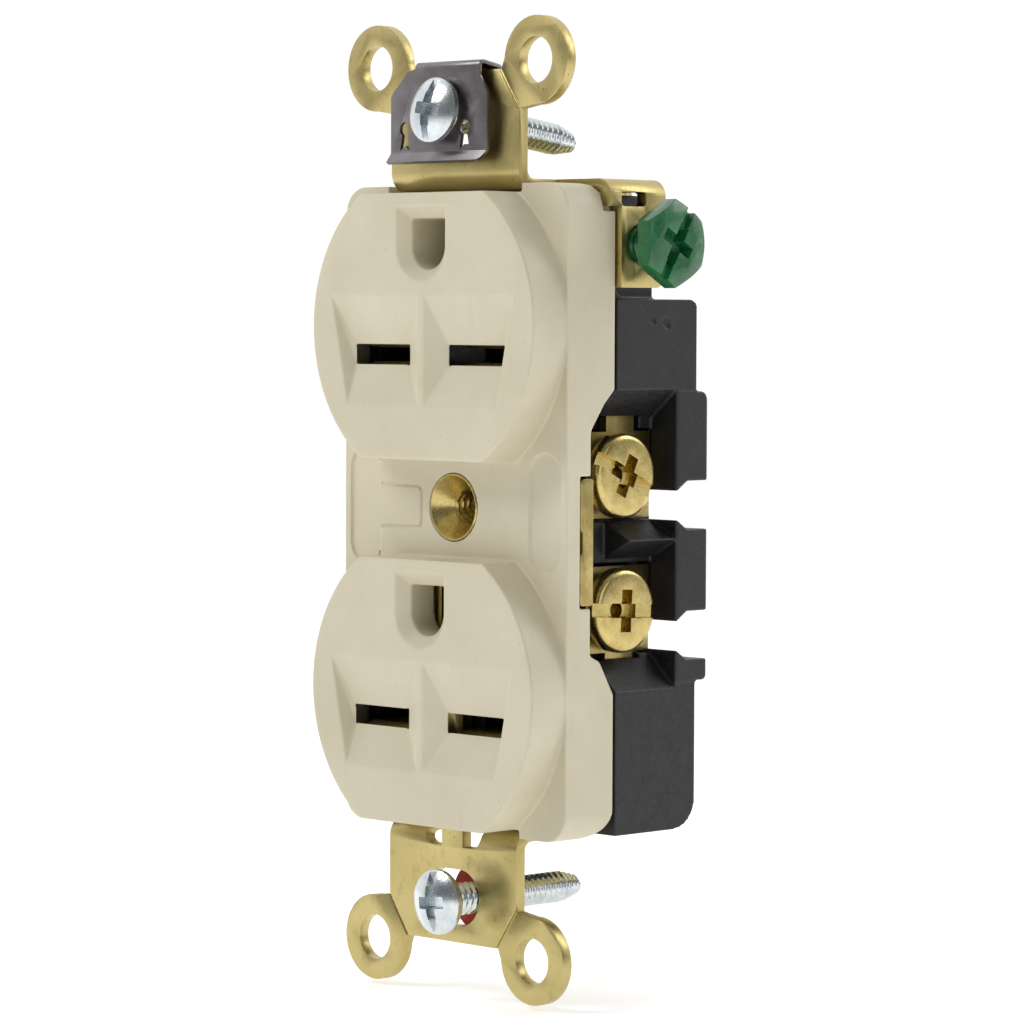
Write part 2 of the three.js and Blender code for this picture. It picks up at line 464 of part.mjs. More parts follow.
// ---------- mounting strap ----------
function mountingStrap() {
  const half = STRAP.thick / 2;
  const shelf = STRAP.shelfTop - half;
  const back = STRAP.back - half;
  const path = [
    [-half, STRAP.top], [-half, shelf], [back, shelf], [back, -shelf], [-half, -shelf], [-half, -STRAP.top],
  ];
  const band = prismX(bentSheet(path, STRAP.thick, STRAP.bend), -STRAP.halfWidth, STRAP.halfWidth);
  const cuts = [];
  const parts = [];
  for (const s of [-1, 1]) {
    const edgeX = onSide(s, STRAP.backHalfWidth, STRAP.halfWidth + 1);
    cuts.push(box(...edgeX, STRAP.narrowFrom, STRAP.back + 1, -STRAP.shelfTop - 1, STRAP.shelfTop + 1));
    for (const end of [-1, 1]) {
      const at = ([x, z], shift = 0) => [s * (x - shift), end * (z - shift)];
      const beyondX = STRAP.halfWidth + 1;
      const beyondZ = STRAP.top + 1;
      const corner = [
        at(EAR.neckLow), at([beyondX, EAR.neckLow[1]]), at([beyondX, beyondZ]),
        at([EAR.neckHigh[0], beyondZ]), at(EAR.neckHigh),
      ];
      cuts.push(prismY(polygon(corner), -STRAP.thick - 1, 1));
      const neck = [
        at(EAR.neckLow), at(EAR.neckOuter), at(EAR.neckInner), at(EAR.neckHigh),
        at(EAR.neckHigh, EAR.overlap), at([EAR.neckLow[0] - EAR.overlap, EAR.neckLow[1]]),
      ];
      const ear = join([
        prismY(polygon(neck), -STRAP.thick, 0),
        cylinderY(s * EAR.x, end * EAR.z, EAR.radius, -STRAP.thick, 0),
      ]);
      parts.push(ear.subtract(cylinderY(s * EAR.x, end * EAR.z, EAR.hole, -STRAP.thick - 1, 1)));
    }
  }
  for (const end of [-1, 1]) {
    const slot = roundedRect(
      -MOUNT_SLOT.halfWidth, MOUNT_SLOT.halfWidth,
      end * MOUNT_Z - MOUNT_SLOT.halfHeight, end * MOUNT_Z + MOUNT_SLOT.halfHeight,
      MOUNT_SLOT.halfHeight - 0.01);
    cuts.push(prismY(slot, -STRAP.thick - 1, 1));
  }
  cuts.push(box(-TONGUE.windowHalfWidth, TONGUE.windowHalfWidth, -STRAP.thick - 1, TONGUE.windowBack,
    -TONGUE.windowFoot, -STRAP.shelfTop + STRAP.thick + 1));
  const backFrom = GROUND_RIVET_HOLE.strapFront;
  for (const z of Object.values(FACE_CENTRES)) {
    cuts.push(cylinderY(0, z + GROUND.z, GROUND_RIVET_HOLE.radius, backFrom, STRAP.back + 1));
  }
  for (const z of ASSEMBLY_Z) cuts.push(cylinderY(0, z, ASSEMBLY_HOLE, backFrom, STRAP.back + 1));

  const lowGround = FACE_CENTRES.lower + GROUND.z;
  const jogTop = lowGround + TONGUE.jogRise;
  const jogBottom = jogTop - TONGUE.jogHeight;
  const frame = GROUND_FRAME.halfWidth;
  const rearPlane = TONGUE.jogY + STRAP.thick;
  const tongue = cut(join([
    box(-TONGUE.halfWidth, TONGUE.halfWidth, -STRAP.thick, 0, -TONGUE.windowFoot - 0.3, jogTop),
    cylinderY(0, ASSEMBLY_Z[1], TONGUE.padRadius, -STRAP.thick, 0),
    box(-frame, frame, -STRAP.thick, 0, lowGround - GROUND_FRAME.drop, jogBottom),
    box(-frame, frame, -STRAP.thick, rearPlane, jogBottom, jogTop),
    box(-TONGUE.halfWidth, TONGUE.halfWidth, TONGUE.jogY, rearPlane, jogBottom, INSERT.z),
    cylinderY(0, INSERT.z, TONGUE.ringRadius, TONGUE.jogY, rearPlane),
  ]), [
    box(-GROUND_FRAME.inner, GROUND_FRAME.inner, -STRAP.thick - 1, 1,
      lowGround - GROUND_FRAME.innerDrop, jogBottom),
    cylinderY(0, ASSEMBLY_Z[1], ASSEMBLY_HOLE, -STRAP.thick - 1, 1),
    cylinderY(0, INSERT.z, INSERT.body + 0.2, 0, 3),
  ]);

  const tabInner = TAB.outer - STRAP.thick;
  const tabX = [tabInner - 1, TAB.outer + 1];
  const tabPath = [[STRAP.halfWidth - 0.5, shelf], [TAB.outer - half, shelf], [TAB.outer - half, TAB.bottom]];
  const tab = cut(prismY(bentSheet(tabPath, STRAP.thick, TAB.bend), TAB.legFront, TAB.rear), [
    box(...tabX, TAB.legFront - 1, TAB.front, TAB.bottom - 1, TAB_WINDOW.bottom),
    box(...tabX, TAB_WINDOW.front, TAB_WINDOW.rear, TAB_WINDOW.bottom, STRAP.shelfTop - STRAP.thick - 0.1),
    cylinderX(GROUND_SCREW.y, GROUND_SCREW.z, TERMINAL_BORE, ...tabX),
  ]);
  return join([cut(band, cuts), ...parts, tongue, tab]);
}

// ---------- fasteners ----------
/** A mounting screw along +Y, its domed head's middle at the origin, with a slot. */
function mountingScrew() {
  const { headRadius, headThick, radius, length, point, tip } = MOUNT_SCREW;
  const { slot, cross, depth } = MOUNT_RECESS;
  const profile = [
    [0, 0], ...DOME.map(([share, y]) => [headRadius * share, y]), [headRadius, headThick],
    [radius, headThick], [radius, length - point], [radius * tip, length], [0, length],
  ];
  return cut(solid(turned(profile)), [
    box(-slot, slot, -1, depth, -headRadius - 1, headRadius + 1),
    box(-cross, cross, -1, depth, -slot, slot),
  ]);
}

/** A terminal screw along the X axis of one side, with a slot. */
function terminalScrew(side) {
  const { headRadius, headInner, headOuter, radius, tip, rim } = TERMINAL_SCREW;
  const { slot, cross, depth } = TERMINAL_RECESS;
  const profile = [
    [0, tip], [radius * SCREW_TIP.fraction, tip], [radius, tip + SCREW_TIP.length],
    [radius, headInner], [headRadius, headInner], [headRadius, headOuter - rim],
    [headRadius - rim, headOuter], [0, headOuter],
  ];
  const geometry = turned(profile).rotateZ(-side * Math.PI / 2);
  const recessX = onSide(side, headOuter - depth, headOuter + 1);
  return cut(solid(geometry), [
    box(...recessX, -headRadius - 1, headRadius + 1, -slot, slot),
    box(...recessX, -slot, slot, -cross, cross),
  ]);
}

function groundScrew() {
  const { headInner, headOuter, flats, radius, tip } = GROUND_SCREW;
  const { slot, cross, depth } = GROUND_RECESS;
  const corner = flats / 2 / Math.cos(Math.PI / 6);
  const hexagon = [0, 1, 2, 3, 4, 5].map((i) => {
    const angle = Math.PI / 2 + (i * Math.PI) / 3;
    return [corner * Math.cos(angle), corner * Math.sin(angle)];
  });
  const shank = turned([
    [0, tip], [radius * SCREW_TIP.fraction, tip], [radius, tip + SCREW_TIP.length],
    [radius, headInner + 0.2], [0, headInner + 0.2],
  ]);
  const whole = join([prismX(polygon(hexagon), headInner, headOuter), solid(shank.rotateZ(-Math.PI / 2))]);
  return cut(whole, [
    box(headOuter - depth, headOuter + 1, -slot, slot, -corner - 1, corner + 1),
    box(headOuter - depth, headOuter + 1, -cross, cross, -slot, slot),
  ]);
}

function rivetY({ head, radius, headRadius, tail, tailRadius }) {
  return turned([
    [0, head], [headRadius, head], [headRadius, head + RIVET_HEAD], [radius, head + RIVET_HEAD],
    [radius, tail - RIVET_HEAD], [tailRadius, tail - RIVET_HEAD], [tailRadius * 0.8, tail], [0, tail],
  ], ROUND_SMALL);
}

// ---------- the spring clip ----------
function groundingClip() {
  const { thick, bend, y, left, right, lip, lipZ, foot, top, hookY, hookDrop, hookEnd, holeZ } = CLIP;
  const path = [[y - lip, lipZ], [y, foot], [y, top], [hookY, top - hookDrop], [hookY, hookEnd]];
  const sheet = prismX(bentSheet(path, thick, bend), left, right);
  const keyholes = KEYHOLE.x.flatMap((x) => [
    cylinderY(x, KEYHOLE.z, KEYHOLE.radius, y - 1, y + 1),
    box(x - KEYHOLE.slit, x + KEYHOLE.slit, y - 1, y + 1, KEYHOLE.foot, KEYHOLE.z),
  ]);
  return cut(sheet, [
    prismY(polygon(CLIP_TRIM_LEFT), y - 2, 2), prismY(polygon(CLIP_TRIM_RIGHT), y - 2, 2), ...keyholes,
    cylinderY(UPPER_SCREW.x, holeZ, MOUNT_SCREW.radius + GAP, y - 1, y + 1),
  ]);
}

// ---------- current-carrying parts ----------
function terminalStrip(side) {
  const parts = [box(...onSide(side, FIN.inner, FIN.outer), FIN.front, FIN.rear, FIN.bottom, FIN.top)];
  const holes = [];
  for (const t of [-1, 1]) {
    const z = TERMINAL.z + t * TERMINAL.halfPitch;
    const bladeZ = t * FACE.pitch / 2 + BLADE.z;
    const near = z - t * PLATE.halfHeight;
    const bridge = [near, near + t * PLATE.bridge];
    const arm = [z, bladeZ + t * ARM.halfHeight];
    const plateX = onSide(side, PLATE.inner, PLATE.outer);
    parts.push(
      box(...plateX, PLATE.front, PLATE.rear, z - PLATE.halfHeight, z + PLATE.halfHeight),
      box(...onSide(side, PLATE.inner, FIN.outer), PLATE.front, FIN.rear,
        Math.min(...bridge), Math.max(...bridge)),
      box(...plateX, ARM.front, ARM.rear, Math.min(...arm), Math.max(...arm)),
      box(...onSide(side, ARM.padInner, PLATE.outer), ARM.padFront, ARM.rear,
        bladeZ - ARM.halfHeight, bladeZ + ARM.halfHeight),
    );
    const boreX = onSide(side, PLATE.inner - 1, PLATE.outer + 1);
    holes.push(cylinderX(TERMINAL.y, z, TERMINAL_BORE, ...boreX));
    holes.push(cylinderY(side * CONTACT.rivetX, bladeZ, CONTACT_RIVET.bore, ARM.padFront - 1, ARM.rear + 1));
  }
  return cut(join(parts), holes);
}

function clampPlate(side, z) {
  const { inner, outer, front, rear, halfHeight } = CLAMP;
  const plate = box(...onSide(side, inner, outer), front, rear, z - halfHeight, z + halfHeight);
  return plate.subtract(cylinderX(TERMINAL.y, z, TERMINAL_BORE, ...onSide(side, inner - 1, outer + 1)));
}

function bladeContact(side, z) {
  const { front, throatFront, throatRear, flareRear, rear, thick, throat, base } = CONTACT;
  const leaf = [
    [front, base], [throatFront, throat], [throatRear, throat], [flareRear, base], [rear - thick / 2, base],
  ];
  const section = [
    ...leaf.map(([y, rise]) => [y, z + rise + thick / 2]),
    ...leaf.reverse().map(([y, rise]) => [y, z - rise - thick / 2]),
  ];
  const clip = prismX(bentSheet(section, thick, CONTACT.bend), ...onSide(side, CONTACT.inner, CONTACT.outer));
  return clip.subtract(cylinderY(side * CONTACT.rivetX, z, CONTACT_RIVET.bore, rear - 2, rear + 1));
}

function groundContact(z) {
  const { front, rear, gap, thick, halfHeight } = GROUND_CONTACT;
  return cut(join([
    box(gap, gap + thick, front, rear, z - halfHeight, z + halfHeight),
    box(-gap - thick, -gap, front, rear, z - halfHeight, z + halfHeight),
    box(-gap - thick, gap + thick, rear - thick, rear, z - halfHeight, z + halfHeight),
  ]), [cylinderY(0, z, GROUND_RIVET.bore, rear - 2, rear + 1)]);
}

// ---------- the assembly ----------
addMesh('front_cover', frontCover(), IVORY);
addMesh('rear_body', rearBody(), BLACK);
addMesh('mounting_strap', mountingStrap(), BRASS);

const insertProfile = [
  [INSERT.hole, COVER.front + INSERT.sink], [INSERT.rim - INSERT.chamfer, COVER.front],
  [INSERT.rim, COVER.front], [INSERT.rim, COVER.front + INSERT.rimThick],
  [INSERT.body, COVER.front + INSERT.taper], [INSERT.body, INSERT.rear], [INSERT.hole, INSERT.rear],
  [INSERT.hole, COVER.front + INSERT.sink],
];
addMesh('center_insert', turned(insertProfile), SCREW_BRASS).position.set(0, 0, INSERT.z);

addMesh('self_grounding_clip', groundingClip(), SPRING_STEEL);
const upperScrew = addMesh('upper_mounting_screw', mountingScrew(), ZINC);
upperScrew.position.set(UPPER_SCREW.x, UPPER_SCREW.front, UPPER_SCREW.z);
upperScrew.rotation.x = -UPPER_SCREW.tilt;
addMesh('lower_mounting_screw', mountingScrew(), ZINC)
  .position.set(LOWER_SCREW.x, LOWER_SCREW.front, LOWER_SCREW.z);
const washer = [
  [RETAINER.inner, RETAINER.front], [RETAINER.outer, RETAINER.front], [RETAINER.outer, RETAINER.rear],
  [RETAINER.inner, RETAINER.rear], [RETAINER.inner, RETAINER.front],
];
addMesh('lower_screw_retainer', turned(washer), FIBRE).position.set(LOWER_SCREW.x, 0, LOWER_SCREW.z);
addMesh('ground_screw', groundScrew(), GREEN).position.set(0, GROUND_SCREW.y, GROUND_SCREW.z);

for (const [sideName, side] of [['right', 1], ['left', -1]]) {
  addMesh(`terminal_strip_${sideName}`, terminalStrip(side), BRASS);
  for (const [levelName, level] of [['upper', 1], ['lower', -1]]) {
    const z = TERMINAL.z + level * TERMINAL.halfPitch;
    const bladeZ = level * FACE.pitch / 2 + BLADE.z;
    const suffix = `${levelName}_${sideName}`;
    addMesh(`terminal_screw_${suffix}`, terminalScrew(side), SCREW_BRASS).position.set(0, TERMINAL.y, z);
    addMesh(`clamp_plate_${suffix}`, clampPlate(side, z), BRASS);
    addMesh(`blade_contact_${suffix}`, bladeContact(side, bladeZ), BRASS);
    addMesh(`contact_rivet_${suffix}`, rivetY(CONTACT_RIVET), BRASS)
      .position.set(side * CONTACT.rivetX, 0, bladeZ);
  }
}
for (const [levelName, z] of Object.entries(FACE_CENTRES)) {
  addMesh(`ground_contact_${levelName}`, groundContact(z + GROUND.z), BRASS);
  addMesh(`ground_rivet_${levelName}`, rivetY(GROUND_RIVET), BRASS).position.set(0, 0, z + GROUND.z);
}
ASSEMBLY_Z.forEach((z, i) => {
  const name = `assembly_screw_${i === 0 ? 'upper' : 'lower'}`;
  addMesh(name, turned(ASSEMBLY_PROFILE), ZINC).position.set(0, 0, z);
});

export default outlet;
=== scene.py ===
import json
import math

import bmesh
import bpy
from mathutils import Matrix, Vector


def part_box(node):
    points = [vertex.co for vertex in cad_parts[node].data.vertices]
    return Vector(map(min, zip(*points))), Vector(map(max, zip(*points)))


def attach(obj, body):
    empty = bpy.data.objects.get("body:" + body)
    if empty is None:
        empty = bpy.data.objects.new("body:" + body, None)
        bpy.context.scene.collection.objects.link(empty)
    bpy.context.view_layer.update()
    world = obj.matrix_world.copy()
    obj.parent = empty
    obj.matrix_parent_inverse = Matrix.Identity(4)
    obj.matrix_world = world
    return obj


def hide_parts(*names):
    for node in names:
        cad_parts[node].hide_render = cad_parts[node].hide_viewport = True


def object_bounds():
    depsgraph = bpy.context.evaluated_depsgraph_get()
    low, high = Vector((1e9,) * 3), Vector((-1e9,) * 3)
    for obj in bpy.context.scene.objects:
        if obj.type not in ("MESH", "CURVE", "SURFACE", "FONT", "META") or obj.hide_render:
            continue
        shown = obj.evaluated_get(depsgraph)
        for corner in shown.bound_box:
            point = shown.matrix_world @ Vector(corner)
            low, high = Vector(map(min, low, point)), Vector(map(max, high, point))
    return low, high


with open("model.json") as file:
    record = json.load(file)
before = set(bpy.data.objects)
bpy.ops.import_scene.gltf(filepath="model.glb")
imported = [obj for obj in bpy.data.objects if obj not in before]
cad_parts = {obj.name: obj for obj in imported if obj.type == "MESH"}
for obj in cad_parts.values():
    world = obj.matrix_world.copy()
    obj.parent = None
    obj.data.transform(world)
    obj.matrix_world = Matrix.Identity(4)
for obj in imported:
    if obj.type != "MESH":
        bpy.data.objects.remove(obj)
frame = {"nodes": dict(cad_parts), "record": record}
cad_low, cad_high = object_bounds()

# ---------- the frame's places, in millimetres ----------
MM = 0.001
SIDES = (("right", 1), ("left", -1))
LEVELS = (("upper", 1), ("lower", -1))


def box_mm(node):
    """A CAD node's lowest and highest corners, in millimetres."""
    low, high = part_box(node)
    return low / MM, high / MM


COVER_LOW, COVER_HIGH = box_mm("front_cover")
BODY_LOW, BODY_HIGH = box_mm("rear_body")
CLIP_LOW, CLIP_HIGH = box_mm("self_grounding_clip")
HEAD_LOW, HEAD_HIGH = box_mm("terminal_screw_upper_right")

STRIP_FRONT = -1.3
FACE_FRONT = COVER_LOW.y
COVER_REAR = COVER_HIGH.y
WALL = 1.5
NOTCH_HALF_WIDTH = 10.2
NOTCH_Z = 33.6
HALF_PITCH = 19.445
FACE_Z = {"upper": HALF_PITCH, "lower": -HALF_PITCH}
FACE_RADIUS = COVER_HIGH.x - 0.1
FACE_FLAT = 14.15
BLADE_Z = -3.05
BLADE_INNER = 3.05
BLADE_OUTER = 11.4
GROUND_Z = 8.5
GROUND_RADIUS = 2.5
GROUND_TOP = 11.4
TUBE_WALL = 0.8
TUBE_END = {"upper": 0.3, "lower": -1.6}
PILL_X = 13.86
PILL_HALF_WIDTH = 2.33
PILL_HALF_HEIGHT = 6.28
PILL_RADIUS = 2.3
ASSEMBLY_Z = (8.2, -28.6)

SHEET = 1.27
SHELF_TOP = 35.0
STRAP_HALF = 9.8
STRAP_TOP = 46.5
WEB_HALF = 7.6
WEB_REAR = 18.27
EAR_X = 12.19
EAR_Z = 47.28
EAR_RADIUS = 4.65
MOUNT_Z = 41.67

TERMINAL_Y = 8.7
TERMINALS_MIDDLE = -3.4
TERMINALS_APART = 7.145
TERMINAL_Z = {"upper": TERMINALS_MIDDLE + TERMINALS_APART, "lower": TERMINALS_MIDDLE - TERMINALS_APART}
TERMINAL_HEAD_X = 16.2
TERMINAL_LEAN = {"upper": 116, "lower": 93}
BAY_X = 13.4
BAY_REAR = 15.2
BLOCK_REAR = BODY_HIGH.y
BLOCK_TOP = 12.6
BLOCK_BOTTOM = -18.4
BODY_REAR = 18.4
NOTCH_MIDDLES = (0.45, -13.5)
NOTCH_FLOOR_HALF = 1.55
NOTCH_MOUTH_HALF = 2.6
NOTCH_SIDE = ((BAY_REAR - 0.2, NOTCH_FLOOR_HALF), (15.4, NOTCH_FLOOR_HALF, 0.3),
              (17.0, NOTCH_MOUTH_HALF, 0.5), (BLOCK_REAR + 1, NOTCH_MOUTH_HALF))
WIRE_HOLE_X = 10.6
WIRE_HOLE_Z = 3.1
WIRE_HOLE_RADIUS = 1.6
ASSEMBLY_HOLE = 1.9
GROUND_RIVET_HOLE = 1.5
SCREW_HOLE = 2.25
RIVET_X = 7.2
INSERT_Z = 0.15
GROUND_SCREW_AT = (23.0, 9.1, 28.2)
JOINTS = {joint["name"]: joint for joint in frame["record"]["behaviour"]["joints"]}
UPPER_X, UPPER_Y, UPPER_Z = (v / MM for v in JOINTS["upper_screw_turn"]["pos_m"])
LOWER_X, LOWER_Y, LOWER_Z = (v / MM for v in JOINTS["lower_screw_turn"]["pos_m"])
UPPER_SCREW_TILT = 8

MACHINE_PITCH = 0.794
THREAD_DEPTH = 0.3
STEPS_PER_TURN = 8
SHARP_ANGLE = 32
CREASE_ANGLE = 38


# ---------- mesh helpers: sizes in millimetres, meshes in metres ----------
def new_piece(name, verts, faces):
    mesh = bpy.data.meshes.new(name)
    mesh.from_pydata([Vector(v) * MM for v in verts], [], faces)
    work = bmesh.new()
    work.from_mesh(mesh)
    bmesh.ops.remove_doubles(work, verts=work.verts, dist=1e-8)
    bmesh.ops.recalc_face_normals(work, faces=work.faces)
    work.to_mesh(mesh)
    work.free()
    piece = bpy.data.objects.new(name, mesh)
    bpy.context.scene.collection.objects.link(piece)
    return piece


def place(axis, u, v, along):
    """A point drawn in the plane across an axis: (y, z) for x, (x, z) for y, (x, y) for z."""
    return {"x": (along, u, v), "y": (u, along, v), "z": (u, v, along)}[axis]


def loft(ring_a, ring_b, name="tool"):
    """A closed solid between two rings that have the same number of points."""
    count = len(ring_a)
    faces = [list(range(count)), list(range(count, 2 * count))]
    for i in range(count):
        after = (i + 1) % count
        faces.append([i, after, count + after, count + i])
    return new_piece(name, [*ring_a, *ring_b], faces)


def prism(outline, axis, start, end, name="tool"):
    ring_a, ring_b = ([place(axis, u, v, along) for u, v in outline] for along in (start, end))
    return loft(ring_a, ring_b, name)


def box(x0, x1, y0, y1, z0, z1):
    return prism([(x0, z0), (x1, z0), (x1, z1), (x0, z1)], "y", y0, y1)


def outward(s, inner, outer):
    """Two distances from the middle, on the side s (1 or -1), lowest first."""
    return sorted((s * inner, s * outer))


def arc(u, v, radius, start, end, steps=12):
    """Points on an arc, its angles in degrees."""
    angles = [math.radians(start + (end - start) * i / steps) for i in range(steps + 1)]
    return [(u + radius * math.cos(a), v + radius * math.sin(a)) for a in angles]


def circle(u, v, radius, steps=48):
    return arc(u, v, radius, 0, 360, steps)[:-1]


def rounded(corners, steps=6):
    """A closed outline from (u, v) or (u, v, radius) corners, with the radii turned into arcs."""
    outline = []
    for i, corner in enumerate(corners):
        point = Vector(corner[:2])
        if len(corner) == 2:
            outline.append(tuple(point))
            continue
        before = (Vector(corners[i - 1][:2]) - point).normalized()
        after = (Vector(corners[(i + 1) % len(corners)][:2]) - point).normalized()
        half = before.angle(after) / 2
        centre = point + (before + after).normalized() * (corner[2] / math.sin(half))
        first = point + before * (corner[2] / math.tan(half)) - centre
        last = point + after * (corner[2] / math.tan(half)) - centre
        start = math.atan2(first.y, first.x)
        turn = (math.atan2(last.y, last.x) - start + math.pi) % math.tau - math.pi
        for k in range(steps + 1):
            angle = start + turn * k / steps
            outline.append((centre.x + corner[2] * math.cos(angle), centre.y + corner[2] * math.sin(angle)))
    return outline


def round_rect(u0, u1, v0, v1, radius, steps=6):
    corners = [(u0, v0, radius), (u1, v0, radius), (u1, v1, radius), (u0, v1, radius)]
    return rounded(corners, steps)


def rod(axis, u, v, radius, start, end, steps=48):
    return prism(circle(u, v, radius, steps), axis, start, end)


def bent_sheet(path, thickness, bend, steps=8):
    """A bent sheet's section, from its middle line; every corner is bent to the same middle radius."""
    points = [Vector(p) for p in path]
    left, right = [], []
    half = thickness / 2

    def add(point, normal):
        left.append(tuple(point + normal * half))
        right.append(tuple(point - normal * half))

    def across(direction):
        return Vector((-direction.y, direction.x))

    first = (points[1] - points[0]).normalized()
    add(points[0], across(first))
    for i in range(1, len(points) - 1):
        before = (points[i] - points[i - 1]).normalized()
        after = (points[i + 1] - points[i]).normalized()
        turn = math.atan2(before.cross(after), before.dot(after))
        side = math.copysign(1, turn)
        start = points[i] - before * bend * math.tan(abs(turn) / 2)
        centre = start + across(before) * side * bend
        for k in range(steps + 1):
            spoke = Matrix.Rotation(turn * k / steps, 2) @ (across(before) * -side)
            left.append(tuple(centre + spoke * (bend - side * half)))
            right.append(tuple(centre + spoke * (bend + side * half)))
    last = (points[-1] - points[-2]).normalized()
    add(points[-1], across(last))
    return right + left[::-1]


def bake(piece):
    """Applies every modifier of a piece."""
    graph = bpy.context.evaluated_depsgraph_get()
    mesh = bpy.data.meshes.new_from_object(piece.evaluated_get(graph))
    piece.modifiers.clear()
    old, piece.data = piece.data, mesh
    bpy.data.meshes.remove(old)
    return piece


def combine(piece, tools, operation):
    for tool in tools:
        step = piece.modifiers.new(operation, "BOOLEAN")
        step.operation = operation
        step.solver = "MANIFOLD"
        step.object = tool
    bake(piece)
    for tool in tools:
        mesh = tool.data
        bpy.data.objects.remove(tool)
        bpy.data.meshes.remove(mesh)
    return piece


def cut(piece, tools):
    return combine(piece, tools, "DIFFERENCE")


def join(piece, tools):
    return combine(piece, tools, "UNION")


def moulded(piece, voxel, rounds):
    """Turns a hard-edged solid into a moulded one, every edge slightly soft."""
    remesh = piece.modifiers.new("remesh", "REMESH")
    remesh.mode = "VOXEL"
    remesh.voxel_size = voxel * MM
    soften = piece.modifiers.new("soften", "SMOOTH")
    soften.factor = 0.5
    soften.iterations = rounds
    bake(piece)
    piece.data.shade_smooth()
    return piece


def bevelled(piece, width, segments=2):
    """Breaks the edges of a hard-edged solid, and shades it smooth between its creases."""
    edge = piece.modifiers.new("bevel", "BEVEL")
    edge.width = width * MM
    edge.segments = segments
    edge.limit_method = "ANGLE"
    edge.angle_limit = math.radians(SHARP_ANGLE)
    edge.use_clamp_overlap = True
    bake(piece)
    return smooth(piece)


def smooth(piece, angle=CREASE_ANGLE):
    piece.data.shade_smooth()
    piece.data.set_sharp_from_angle(angle=math.radians(angle))
    return piece


def revolve(name, profile, segments=64, closed=False, thread=None):
    """Turns (radius, y) points about the Y axis.

    A third value marks a threaded point, and thread(angle, y) is taken off its radius.
    """
    verts, rings = [], []
    for point in profile:
        radius, y = point[:2]
        if radius == 0:
            rings.append([len(verts)] * segments)
            verts.append((0, y, 0))
            continue
        ring = []
        for k in range(segments):
            angle = math.tau * k / segments
            here = radius - thread(angle, y) if len(point) > 2 else radius
            ring.append(len(verts))
            verts.append((here * math.cos(angle), y, here * math.sin(angle)))
        rings.append(ring)
    faces = []
    pairs = list(zip(rings, rings[1:] + rings[:1])) if closed else list(zip(rings, rings[1:]))
    for lower, upper in pairs:
        for k in range(segments):
            after = (k + 1) % segments
            face = list(dict.fromkeys([lower[k], lower[after], upper[after], upper[k]]))
            if len(face) > 2:
                faces.append(face)
    return new_piece(name, verts, faces)


def screw_thread(pitch, depth):
    """How far a V thread lies below its crest, at an angle and a distance along the axis."""
    def below(angle, y):
        phase = (y / pitch - angle / math.tau) % 1
        return depth * (1 - abs(2 * phase - 1)) ** 0.8
    return below


def moved(piece, matrix):
    piece.data.transform(matrix)
    return piece


def at(x, y, z):
    return Matrix.Translation(Vector((x, y, z)) * MM)


def finish_piece(piece, body, node, material):
    """Gives a piece its material and its body, names it after the CAD node that it stands for, and hides that
    node.
    """
    piece.name = f"{node}_detail"
    piece.data.materials.clear()
    piece.data.materials.append(material)
    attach(piece, body)
    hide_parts(node)
    return piece


# ---------- materials ----------
class Shader:
    """A Principled material built from object-space textures, measured in millimetres."""

    def __init__(self, name, roughness, metallic=0.0, **constants):
        self.material = bpy.data.materials.new(name)
        self.material.use_nodes = True
        self.tree = self.material.node_tree
        self.surface = self.tree.nodes["Principled BSDF"]
        self.surface.inputs["Roughness"].default_value = roughness
        self.surface.inputs["Metallic"].default_value = metallic
        for socket, value in constants.items():
            self.surface.inputs[socket.replace("_", " ")].default_value = value
        self.place = self.tree.nodes.new("ShaderNodeTexCoord").outputs["Object"]

    def node(self, kind, **inputs):
        made = self.tree.nodes.new(kind)
        for socket, value in inputs.items():
            self.feed(made.inputs[socket.replace("_", " ")], value)
        return made

    def feed(self, socket, value):
        if isinstance(value, bpy.types.NodeSocket):
            self.tree.links.new(value, socket)
        else:
            socket.default_value = value

    def coordinates(self, scale=(1, 1, 1)):
        per_mm = [s / MM for s in scale]
        return self.node("ShaderNodeMapping", Vector=self.place, Scale=per_mm).outputs[0]

    def noise(self, scale, detail=4.0, rough=0.55, stretch=(1, 1, 1)):
        return self.node("ShaderNodeTexNoise", Vector=self.coordinates(stretch), Scale=scale, Detail=detail,
                         Roughness=rough).outputs["Fac"]

    def cells(self, scale):
        return self.node("ShaderNodeTexVoronoi", Vector=self.coordinates(), Scale=scale).outputs["Distance"]

    def span(self, value, low, high, to_low=0.0, to_high=1.0):
        made = self.node("ShaderNodeMapRange", Value=value)
        for socket, number in zip(("From Min", "From Max", "To Min", "To Max"), (low, high, to_low, to_high)):
            made.inputs[socket].default_value = number
        return made.outputs[0]

    def mix(self, amount, first, second):
        made = self.tree.nodes.new("ShaderNodeMix")
        made.data_type = "RGBA"
        self.feed(made.inputs[0], amount)
        self.feed(made.inputs[6], first)
        self.feed(made.inputs[7], second)
        return made.outputs[2]

    def times(self, first, second):
        made = self.tree.nodes.new("ShaderNodeMath")
        made.operation = "MULTIPLY"
        self.feed(made.inputs[0], first)
        self.feed(made.inputs[1], second)
        return made.outputs[0]

    def edges(self, low, high):
        """1 on worn convex edges, 0 elsewhere."""
        return self.span(self.tree.nodes.new("ShaderNodeNewGeometry").outputs["Pointiness"], low, high)

    def colour(self, value):
        self.feed(self.surface.inputs["Base Color"], value)

    def roughness(self, value):
        self.feed(self.surface.inputs["Roughness"], value)

    def bump(self, *layers):
        """Stacks (height, distance in mm, strength) layers of relief."""
        normal = None
        for height, distance, strength in layers:
            made = self.node("ShaderNodeBump", Height=height, Strength=strength)
            made.inputs["Distance"].default_value = distance * MM
            if normal is not None:
                self.tree.links.new(normal, made.inputs["Normal"])
            normal = made.outputs[0]
        self.tree.links.new(normal, self.surface.inputs["Normal"])


